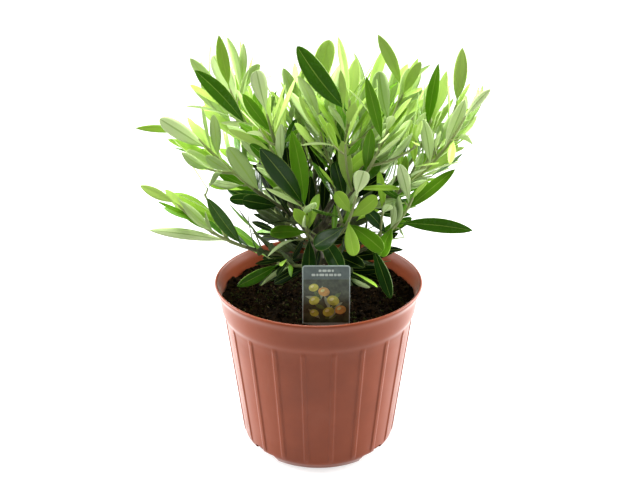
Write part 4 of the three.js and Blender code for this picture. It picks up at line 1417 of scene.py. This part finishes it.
def disc(centre, width, height, turn, steps=24):
    angles = [2 * math.pi * step / steps for step in range(steps)]
    flat = [(width / 2 * math.cos(a), height / 2 * math.sin(a)) for a in angles]
    return laid(flat, centre, turn)


def laid(flat, place, turn):
    """Flat points turned by an angle in degrees and moved to a place."""
    cosine, sine = math.cos(math.radians(turn)), math.sin(math.radians(turn))
    return [
        (place[0] + x * cosine - z * sine, place[1] + x * sine + z * cosine) for x, z in flat
    ]


def print_finish(name, colour, spread):
    finish = Finish(name, colour, 0.32, Specular_IOR_Level=0.5)
    base = tuple(colour)
    finish.colours(
        finish.noise(5, detail=5), [(0.35, shade(base, 1 - spread)), (0.65, shade(base, 1 + spread))]
    )
    finish.rough(finish.noise(6), 0.26, 0.4)
    return finish.bumps((finish.noise(1.2), 0.01))


class OLIVE_OT_label(Operator):
    """Make the plastic plant label with a plain band and a sprig of fruit of its own"""

    bl_idname = "olive.label"
    bl_label = "Label"

    def execute(self, context):
        settings = context.scene.olive_label
        self.card(settings)
        self.printed(settings)
        return {"FINISHED"}

    def card(self, settings):
        half, stake = LABEL["width"] / 2, LABEL["stake_width"] / 2
        centre = LABEL["centre"]
        bend = LABEL["stake_tip"] + LABEL["stake_point"]
        upper = rounded(centre, LABEL["shoulder"], LABEL["top"], half, LABEL["corner"])[:-2]
        outline = upper + [
            (centre - half, LABEL["shoulder"]),
            (centre - stake, LABEL["shoulder"] - 3),
            (centre - stake, bend),
            (centre, LABEL["stake_tip"]),
            (centre + stake, bend),
            (centre + stake, LABEL["shoulder"] - 3),
            (centre + half, LABEL["shoulder"]),
        ]
        shape = Shape()
        back = LABEL["y"] + LABEL["thick"] / 2
        front = LABEL["y"] - LABEL["thick"] / 2
        depth, width = CARD_EDGE
        middle = np.mean(outline, axis=0)
        rings = []
        for y, inset in ((back, width), (back - depth, 0), (front + depth, 0), (front, width)):
            ring = []
            for x, z in outline:
                away = unit(middle - np.array([x, z])) * inset
                ring.append((x + away[0], y, z + away[1]))
            rings.append(ring)
        shape.add(rings, tube_faces(len(rings), len(outline)))
        card = Finish("clear edged card", settings.card, 0.28, Specular_IOR_Level=0.6)
        card.rough(card.noise(7), 0.22, 0.36)
        card.bumps((card.noise(14), 0.06))
        made = shape.piece("label_card", "label", [card.material], ["label"])
        made.data.polygons.foreach_set("use_smooth", np.zeros(len(made.data.polygons), bool))

    def printed(self, settings):
        shape = Shape()
        border, header = settings.border / MM, settings.header / MM
        half = LABEL["width"] / 2 - border
        top = LABEL["top"] - border
        split = top - header
        centre = LABEL["centre"]
        front = LABEL["y"] - LABEL["thick"] / 2
        sheet = front - PRINT_STEPS[0]
        band = rounded(centre, split, top, half, LABEL["corner"] - 1)
        prism(shape, band, sheet, front, HEADER)
        panel = rounded(centre, LABEL["shoulder"] + 1, split - 0.1, half, 0.01)
        prism(shape, panel, sheet, front, PANEL)
        self.rows(shape, top, front)
        self.sprig(shape, split, front)
        colours = [
            print_finish("header band", settings.band, 0.15),
            print_finish("dark panel", settings.ground, 0.5),
        ]
        for name, (colour, spread) in PRINT_COLOURS.items():
            colours.append(print_finish(name, colour, spread))
        made = shape.piece("label_print", "label", colours)
        made.data.polygons.foreach_set("use_smooth", np.zeros(len(made.data.polygons), bool))

    def rows(self, shape, top, front):
        """Two rows of short dashes in the header band."""
        ink, half, gap = front - PRINT_STEPS[1], ROWS["half"], ROWS["gap"]
        for row, dashes in enumerate(DASHES):
            z = top - ROWS["first"] - ROWS["pitch"] * row
            start = LABEL["centre"] - sum(dashes) / 2 - gap / 2 * (len(dashes) - 1)
            for length in dashes:
                dash = rounded(start + length / 2, z - half, z + half, length / 2, 0.5, 0.5)
                prism(shape, dash, ink, front, RULES)
                start += length + gap

    def sprig(self, shape, split, front):
        """A fan of leaves of two greens with round fruit spread over them."""
        ink, fruit, shine = (front - step for step in PRINT_STEPS[1:])
        centre, foot = LABEL["centre"], LABEL["shoulder"] + 2
        for index in range(SPRIG["leaves"]):
            turn = SPRIG["first"] + SPRIG["fan"] * index / (SPRIG["leaves"] - 1)
            z = foot + 3 + 9 * (index % 3)
            x = centre + 11 * dice(index, 2) - 5.5
            length = min(15, (split - z - 2) / max(0.3, math.sin(math.radians(turn))))
            leaf = lens((x, z), turn, min(length, 11 + 3 * (index % 2)), SPRIG["width"])
            colour = PALE_LEAVES if index % 2 else LEAVES
            prism(shape, leaf, ink - PRINT_LAYER * index, front, colour)
        for index, (across, up, width, turn, ripe) in enumerate(FRUIT):
            x, z = centre + across, foot + up
            over = PRINT_LAYER * index
            colour = RIPE_FRUIT if ripe else YOUNG_FRUIT
            prism(shape, disc((x, z), width, width * 0.84, turn), fruit - over, front, colour)
            glint = disc((x - 1.2, z + 1.2), width * 0.4, width * 0.26, 30)
            prism(shape, glint, shine - over, front, LIGHT)


# Trunk and boughs
TRUNK_MESH = {"sides": 36, "step": 1.0, "relief": 1}
BOUGH_MESH = {"sides": 18, "step": 1.2, "relief": 0.8}
COLLAR = (0.4, 5)  # how much wider a bough is at its foot, and over what length
BARK_ROUND, BARK_CLIMB = 1.4, 26  # sizes of the bark's pattern, round and up a limb


def bark_finish(settings):
    colour, pale = tuple(settings.colour), tuple(settings.pale)
    finish = Finish("young olive bark", colour, 0.85)
    patches = finish.noise(5, detail=7, roughness=0.65, stretch=(1, 1, 0.35))
    finish.colours(
        patches,
        [(0.3, shade(colour, 0.45)), (0.48, colour), (0.62, pale), (0.8, shade(pale, 1.25))],
    )
    finish.rough(finish.noise(3), 0.7, 0.95)
    streaks = finish.noise(1.3, detail=5, stretch=(1, 1, 0.2))
    return finish.bumps((streaks, 0.5), (finish.noise(0.6), 0.15))


def bark_relief(path, sides, key, amount):
    """Ridges that run up the limb and warts, as shares of its radius."""
    rings = len(path)
    climb = np.concatenate([[0], np.cumsum(np.linalg.norm(np.diff(path, axis=0), axis=1))])
    relief = np.zeros((rings, sides))
    for ring in range(rings):
        for side in range(sides):
            angle = 2 * math.pi * side / sides
            flat = BARK_ROUND * math.cos(angle), BARK_ROUND * math.sin(angle)
            spot = Vector((*flat, climb[ring] / BARK_CLIMB + 9 * key))
            ridge = 1 - 2 * abs(noise.noise(spot * 2.2))
            wart = noise.noise(spot * Vector((3.1, 3.1, 4.0)) + Vector((5, 5, 5)))
            relief[ring, side] = amount * (0.75 * ridge - 0.3 + 0.9 * max(0, wart - 0.25))
    return relief


class OLIVE_OT_limbs(Operator):
    """Make the trunk and boughs with the bark's relief"""

    bl_idname = "olive.limbs"
    bl_label = "Trunk and boughs"

    def execute(self, context):
        settings = context.scene.olive_bark
        shape = Shape()
        names = ["trunk"] + ["bough_" + row[0] for row in BOUGHS]
        for key, (name, (axis, radius)) in enumerate(make_limbs().items()):
            form = TRUNK_MESH if name == "trunk" else BOUGH_MESH
            count = math.ceil(axis.length / form["step"]) + 1
            shares = np.linspace(0, 1, count)
            path = np.array([axis.smooth_point(share * axis.length) for share in shares])
            radii = np.array([radius(share) for share in shares])
            if name != "trunk":
                radii = radii * (1 + COLLAR[0] * np.exp(-shares * axis.length / COLLAR[1]))
            relief = bark_relief(path, form["sides"], key, settings.relief * form["relief"])
            rings = tube_points(path, radii, form["sides"], relief)
            if name == "trunk":
                rings[..., 2] = np.maximum(rings[..., 2], SOIL_TOP - 1)
            shape.add(rings, tube_faces(count, form["sides"]))
        shape.piece("bark_limbs", "bark", [bark_finish(settings)], names)
        return {"FINISHED"}


# Foliage
SKIN, UNDERSIDE, VEIN, RIB = range(4)  # a leaf's finishes
TOP_COLUMNS = (-1, -0.93, -0.5, -0.05, 0.05, 0.5, 0.93, 1)
UNDER_COLUMNS = (0.6, 0.1, -0.1, -0.6)
COLUMN_SLOTS = [VEIN, SKIN, SKIN, VEIN, SKIN, SKIN, VEIN]
COLUMN_SLOTS += [UNDERSIDE, UNDERSIDE, RIB, UNDERSIDE, UNDERSIDE]
STATIONS = (0, 0.04, 0.085, 0.12, 0.17, 0.25, 0.36, 0.48, 0.6, 0.71, 0.81, 0.89, 0.95, 0.985, 1)
PETIOLE = {"share": 0.09, "half": 0.62, "thick": 1.0}
BLADE = {
    "base": (0.88, 0.16),  # how slowly a blade widens from its foot, and how far that varies
    "tip": (0.86, 0.46),  # how slowly a slim and a wide blade narrow to the tip
    "widths": (0.17, 0.36),  # such blades' widths, as shares of the length
    "tip_chance": 0.12,
    "fold_chance": 0.5,
    "curl": (0.1, 0.6),  # of the edges, and how far it varies
    "rib": 0.35,  # how far the midrib stands out below, and the groove sinks above
    "groove": 0.12,
    "bow": 0.035,
    "wave": 0.5,
    "twist": 16,
}
KINDS = {  # roughness, gloss, and share of its own green in the underside
    "lime": (0.42, 0.1, 0.35),
    "spring": (0.4, 0.1, 0.25),
    "mid": (0.36, 0.12, 0.15),
    "deep": (0.25, 0.18, 0.1),
    "dark": (0.22, 0.2, 0.08),
    # painted shade: the leaves deep in the crown, near-black and with little gloss
    "shade": (0.5, 0.03, 0.8),
    "silver": (0.4, 0.1, -0.3),
}
CROWN_CENTRE = (0, 0, 200)
CROWN_REACH = (150, 115, 180)  # half sizes of the crown, across, front to back and up
PAINTED_SHADE_REACH = 0.5  # share of that reach within which older leaves take the near-black shade green, a painted shade
PAINTED_SHADE_YOUTH = 0.46  # and the youth below which they take it
# Youth rises along the twig, with the height and with the way out, and varies by chance. Its rise
# with the way out is partly painted shade: greens darken further into the crown
YOUTH = {"least": -0.17, "along": 0.3, "height": 0.55, "out": 0.5, "chance": 0.36}
YOUTH_HEIGHTS = (170, 210)  # height at which it starts to rise, and over what further height
AGES = ((0.86, "lime"), (0.64, "spring"), (0.42, "mid"), (0.22, "deep"))
VEIN_GREEN = (0.45, 0.62, 0.1)
WOOD = {"colour": (0.07, 0.06, 0.034), "share": 0.3}  # of a stem's foot
TWIG_MESH = {"sides": 9, "step": 2.5, "sunk": 1.2, "past": 0.04, "tip": 0.4}
NODE_SWELL = (0.22, 1.6)  # how far a shoot swells where a leaf leaves it, and over what length
TURNED_UP = (0.95, 0.45)  # share of the leaves that show their upper side, low and high up
TURNED_HEIGHTS = (220, 330)


def blade_rings(leaf, settings):
    """Rings of points round one blade, from its stalk to its tip."""
    share = np.array(STATIONS)[:, None]
    across = np.array(TOP_COLUMNS + UNDER_COLUMNS, float)[None]
    under = np.arange(across.size)[None] >= len(TOP_COLUMNS)
    t = np.clip((share - PETIOLE["share"]) / (1 - PETIOLE["share"]), 0, 1)
    base = around(*BLADE["base"], *leaf.keys, 11)
    tip = mix(*BLADE["tip"], smooth(*BLADE["widths"], leaf.width / leaf.length))
    tip *= around(1, BLADE["tip_chance"], *leaf.keys, 17)
    widest = base / (base + tip)
    greatest = widest**base * (1 - widest) ** tip
    slim = 1 if leaf.kind else settings.slim
    wide = t**base * (1 - t) ** tip / greatest * leaf.width / 2 * slim
    stalk = PETIOLE["half"] * (1 - smooth(0.05, 0.3, share)) + 0.22 * smooth(0.9, 1, share)
    half = np.hypot(wide, stalk)
    body = smooth(0.07, 0.2, share)
    round_part = np.sqrt(np.clip(1 - across**2, 0, 1))
    fold = settings.fold * around(1, BLADE["fold_chance"], *leaf.keys, 12)
    curl = BLADE["curl"][0] * around(1, BLADE["curl"][1], *leaf.keys, 13)
    rise = body * half * (fold * np.abs(across) - curl * across**4)
    blade = settings.thickness / MM
    thick = mix(PETIOLE["thick"], blade, body)
    rib = BLADE["rib"] * body * (1 - 0.8 * share) * (np.abs(across) < 0.2)
    groove = BLADE["groove"] * body * (np.abs(across) < 0.1)
    height = rise - under * (thick * round_part * 0.5 + rib)
    height += ~under * (thick * round_part * 0.5 - groove)
    bow = leaf.length * around(0, BLADE["bow"], *leaf.keys, 14) * np.sin(math.pi * share)
    wave = around(0, BLADE["wave"], *leaf.keys, 15) * np.sin(2 * math.pi * share)
    wave = wave * across * body
    twist = math.radians(around(0, BLADE["twist"], *leaf.keys, 16)) * share
    out, lift = across * half, height + wave
    sideways = out * np.cos(twist) - lift * np.sin(twist) + bow
    upwards = out * np.sin(twist) + lift * np.cos(twist)
    centre = leaf.root + leaf.along * (share * leaf.length)
    centre = centre - leaf.face * (leaf.sag * share * share)
    return (
        centre[:, None]
        + leaf.side * sideways[..., None]
        + leaf.face * upwards[..., None]
    )


def leaf_finish(name, colour, roughness, gloss, sheen=0.0):
    """A leaf's skin: one plain colour, with its gloss and its fine grain from noise."""
    finish = Finish(name, colour, roughness, Specular_IOR_Level=gloss, Sheen_Weight=sheen)
    finish.rough(finish.noise(7, detail=3), roughness * 0.8, min(1.0, roughness * 1.25))
    finish.bumps((finish.noise(2.2, detail=3), 0.12), (finish.noise(0.5, detail=2), 0.02))
    return finish.material


def kind_of(leaf, twig_share):
    """Which age a leaf looks: the young ones are at the tips, high up and far out, so greens also
    darken further in, partly a painted shade. Older leaves deep in the crown take the near-black
    shade kind, a painted shade.
    """
    place = leaf.points(0.7, 0)
    height = (place[2] - YOUTH_HEIGHTS[0]) / YOUTH_HEIGHTS[1]
    out = np.linalg.norm((place - CROWN_CENTRE) / CROWN_REACH)
    youth = YOUTH["along"] * twig_share + YOUTH["height"] * height + YOUTH["out"] * out
    youth += YOUTH["least"]
    youth += around(0, YOUTH["chance"], *leaf.keys, 21)
    # painted shade: older leaves deep in the crown take a near-black green in place of the shadow
    # there
    if out < PAINTED_SHADE_REACH and youth < PAINTED_SHADE_YOUTH:
        return "shade"
    for limit, kind in AGES:
        if youth > limit:
            return kind
    return "dark"


class OLIVE_OT_foliage(Operator):
    """Grow the twigs and leaves of every mass by the rule of the solids' source"""

    bl_idname = "olive.foliage"
    bl_label = "Twigs and leaves"

    def execute(self, context):
        settings = context.scene.olive_leaf
        limbs = make_limbs()
        canopy = Canopy(limbs)
        plants = grow_twigs(limbs, canopy)
        place_leading(plants, canopy)
        grow_leaves(plants, canopy)
        grow_finer(plants, canopy, limbs)
        masses = ["foliage_" + plant.name for plant in plants]
        self.make_twigs(plants, settings, masses)
        self.make_leaves(plants, settings, masses)
        return {"FINISHED"}

    def make_twigs(self, plants, settings, masses):
        shape = Shape()
        for plant in plants:
            for twig in plant.twigs:
                if twig.nodes or twig.rank < FINER:
                    self.add_twig(shape, twig)
        shoot = tuple(settings.shoot)
        woody = Finish("woody shoot", blend_colour(shoot, WOOD["colour"], 0.8), 0.75)
        green = Finish("green shoot", shoot, 0.55)
        for finish in (woody, green):
            finish.rough(finish.noise(2), 0.5, 0.8)
            finish.bumps((finish.noise(0.8, stretch=(1, 1, 0.4)), 0.2))
        shape.piece("twigs", "bark", [woody.material, green.material], masses)

    def add_twig(self, shape, twig):
        """One shoot, swollen at each leaf, that ends just past its last leaf."""
        axis, sides, swell = twig.axis, TWIG_MESH["sides"], NODE_SWELL
        end = min(1.0, max(twig.nodes, default=1.0) + TWIG_MESH["past"])
        count = math.ceil(end * axis.length / TWIG_MESH["step"]) + 1
        shares = np.linspace(0, end, count)
        path = np.array([axis.smooth_point(share * axis.length) for share in shares])
        if twig.rank == 0:
            path[0] -= axis.headings[0] * TWIG_MESH["sunk"]
        radii = mix(*TWIG_RADII[twig.rank], shares)
        for node in twig.nodes:
            away = (shares - node) * axis.length / swell[1]
            radii = radii + swell[0] * np.exp(-(away**2))
        radii[-1] *= TWIG_MESH["tip"]
        slots = []
        for share in shares[:-1]:
            woody = twig.rank == 0 and share < WOOD["share"]
            slots += [0 if woody else 1] * sides
        shape.add(tube_points(path, radii, sides), tube_faces(count, sides), slots + [0, 1])

    def make_leaves(self, plants, settings, masses):
        shapes = {kind: Shape() for kind in KINDS}
        columns = len(TOP_COLUMNS) + len(UNDER_COLUMNS)
        faces = tube_faces(len(STATIONS), columns)
        slots = COLUMN_SLOTS * (len(STATIONS) - 1) + [RIB, VEIN]
        for plant in plants:
            stem = plant.twigs[0].axis
            for leaf in plant.leaves:
                kind = leaf.kind
                if not kind:
                    from_foot = np.linalg.norm(leaf.root - stem.points[0])
                    kind = kind_of(leaf, min(1.0, from_foot / stem.length))
                    middle = leaf.points(0.6, 0)
                    if dice(*leaf.keys, 22) < mix(*TURNED_UP, smooth(*TURNED_HEIGHTS, middle[2])):
                        leaf = leaf.faced(unit(middle * (1, 1, 0)) + 0.6 * UP)
                shapes[kind].add(blade_rings(leaf, settings), faces, slots)
        silver = tuple(settings.silver)
        for number, (kind, (roughness, gloss, green)) in enumerate(KINDS.items()):
            colour = tuple(settings.mid if kind == "silver" else getattr(settings, kind))
            pale = blend_colour(colour, VEIN_GREEN, 0.4 - 0.045 * number)
            under = blend_colour(silver, colour, green)
            finishes = [
                leaf_finish(kind + " leaf", colour, roughness, gloss),
                leaf_finish(kind + " underside", under, 0.75, gloss / 2, sheen=0.08),
                leaf_finish(kind + " vein", pale, 0.45, gloss),
                leaf_finish(kind + " rib", blend_colour(under, pale, 0.5), 0.6, gloss),
            ]
            if shapes[kind].count:
                shapes[kind].piece("leaves_" + kind, "foliage", finishes, masses)


# Stage
SIDE_LIGHT = {"out": 1.1, "back": 0.45, "height": 0.5}
TOP_LIGHT = (-0.2, 0.1, 2.0)
LIT_POINT = (0, 0, 0.2)
LIGHT_SIZE = 1.1
FLOOR_HALF, FLOOR_TILES = 4000, 8
GLOW_RUN = (-0.5, -0.12)  # in front of the pot, where the floor's glow rises to its full


class OLIVE_OT_stage(Operator):
    """Set the pale floor, the soft lights and the camera"""

    bl_idname = "olive.stage"
    bl_label = "Stage"

    def execute(self, context):
        settings = context.scene.olive_stage
        scene = context.scene
        scene.view_settings.view_transform = "Standard"
        self.floor(settings)
        world = bpy.data.worlds.new("white room")
        world.use_nodes = True
        background = world.node_tree.nodes["Background"]
        background.inputs["Color"].default_value = (1, 1, 1, 1)
        background.inputs["Strength"].default_value = settings.sky
        scene.world = world
        for sign in (-1, 1):
            place = (sign * SIDE_LIGHT["out"], SIDE_LIGHT["back"], SIDE_LIGHT["height"])
            self.lamp("side_light", place, settings.side_power)
        self.lamp("top_light", TOP_LIGHT, settings.top_power)
        self.camera(scene, settings)
        return {"FINISHED"}

    def floor(self, settings):
        finish = Finish("plain floor", settings.floor, 0.8, Specular_IOR_Level=0.1)
        # The floor glows as a light of its own, dimmer in front of the pot: it lights the plant from
        # below and washes out the pot's shadow on the floor
        finish.shader.inputs["Emission Color"].default_value = (1, 1, 1, 1)
        place = finish.node("ShaderNodeSeparateXYZ", {"Vector": finish.place})
        glow = finish.node("ShaderNodeMapRange", {"Value": place.outputs["Y"]})
        glow.inputs["From Min"].default_value, glow.inputs["From Max"].default_value = GLOW_RUN
        glow.inputs["To Min"].default_value = settings.front_glow
        glow.inputs["To Max"].default_value = settings.floor_glow
        finish.tree.links.new(glow.outputs["Result"], finish.shader.inputs["Emission Strength"])
        finish.rough(finish.noise(60), 0.75, 0.9)
        count = FLOOR_TILES + 1
        ticks = np.linspace(-FLOOR_HALF, FLOOR_HALF, count) * MM
        points = [(x, y, 0.0) for y in ticks for x in ticks]
        quads = []
        for row in range(FLOOR_TILES):
            for column in range(FLOOR_TILES):
                a = row * count + column
                quads.append((a, a + 1, a + count + 1, a + count))
        mesh = bpy.data.meshes.new("floor")
        mesh.from_pydata(points, [], quads)
        mesh.materials.append(finish.material)
        made = bpy.data.objects.new("floor", mesh)
        bpy.context.scene.collection.objects.link(made)

    def lamp(self, name, place, power):
        light = bpy.data.lights.new(name, "AREA")
        light.shape = "SQUARE"
        light.size = LIGHT_SIZE
        light.energy = power
        made = bpy.data.objects.new(name, light)
        made.location = place
        way = Vector(LIT_POINT) - Vector(place)
        made.rotation_euler = way.to_track_quat("-Z", "Y").to_euler()
        bpy.context.scene.collection.objects.link(made)

    def camera(self, scene, settings):
        data = bpy.data.cameras.new("camera")
        data.lens = settings.focal_mm
        data.sensor_width = 36
        data.shift_x = settings.shift
        camera = bpy.data.objects.new("camera", data)
        elevation = math.radians(settings.elevation)
        camera.location = (
            0,
            -settings.distance * math.cos(elevation),
            settings.aim + settings.distance * math.sin(elevation),
        )
        camera.rotation_euler = (math.pi / 2 - elevation, 0, 0)
        scene.collection.objects.link(camera)
        scene.camera = camera


class OLIVE_PT_panel(Panel):
    """The steps that build the shrub, in order"""

    bl_idname = "OLIVE_PT_panel"
    bl_label = "Potted olive"
    bl_space_type = "VIEW_3D"
    bl_region_type = "UI"
    bl_category = "Olive"

    def draw(self, context):
        for group in GROUPS:
            box = self.layout.box()
            settings = getattr(context.scene, group)
            for name in GROUPS[group].__annotations__:
                box.prop(settings, name)
        for operator in OPERATORS:
            self.layout.operator(operator.bl_idname)


GROUPS = {
    "olive_pot": OlivePotSettings,
    "olive_soil": OliveSoilSettings,
    "olive_label": OliveLabelSettings,
    "olive_bark": OliveBarkSettings,
    "olive_leaf": OliveLeafSettings,
    "olive_stage": OliveStageSettings,
}
OPERATORS = (
    OLIVE_OT_pot,
    OLIVE_OT_soil,
    OLIVE_OT_label,
    OLIVE_OT_limbs,
    OLIVE_OT_foliage,
    OLIVE_OT_stage,
)


def register():
    for group in GROUPS.values():
        bpy.utils.register_class(group)
    for operator in OPERATORS:
        bpy.utils.register_class(operator)
    bpy.utils.register_class(OLIVE_PT_panel)
    for name, group in GROUPS.items():
        setattr(bpy.types.Scene, name, PointerProperty(type=group))


def unregister():
    for name in GROUPS:
        delattr(bpy.types.Scene, name)
    bpy.utils.unregister_class(OLIVE_PT_panel)
    for operator in reversed(OPERATORS):
        bpy.utils.unregister_class(operator)
    for group in reversed(GROUPS.values()):
        bpy.utils.unregister_class(group)


def main():
    register()
    bpy.ops.olive.pot()
    bpy.ops.olive.soil()
    bpy.ops.olive.label()
    bpy.ops.olive.limbs()
    bpy.ops.olive.foliage()
    bpy.ops.olive.stage()


if __name__ == "__main__":
    main()
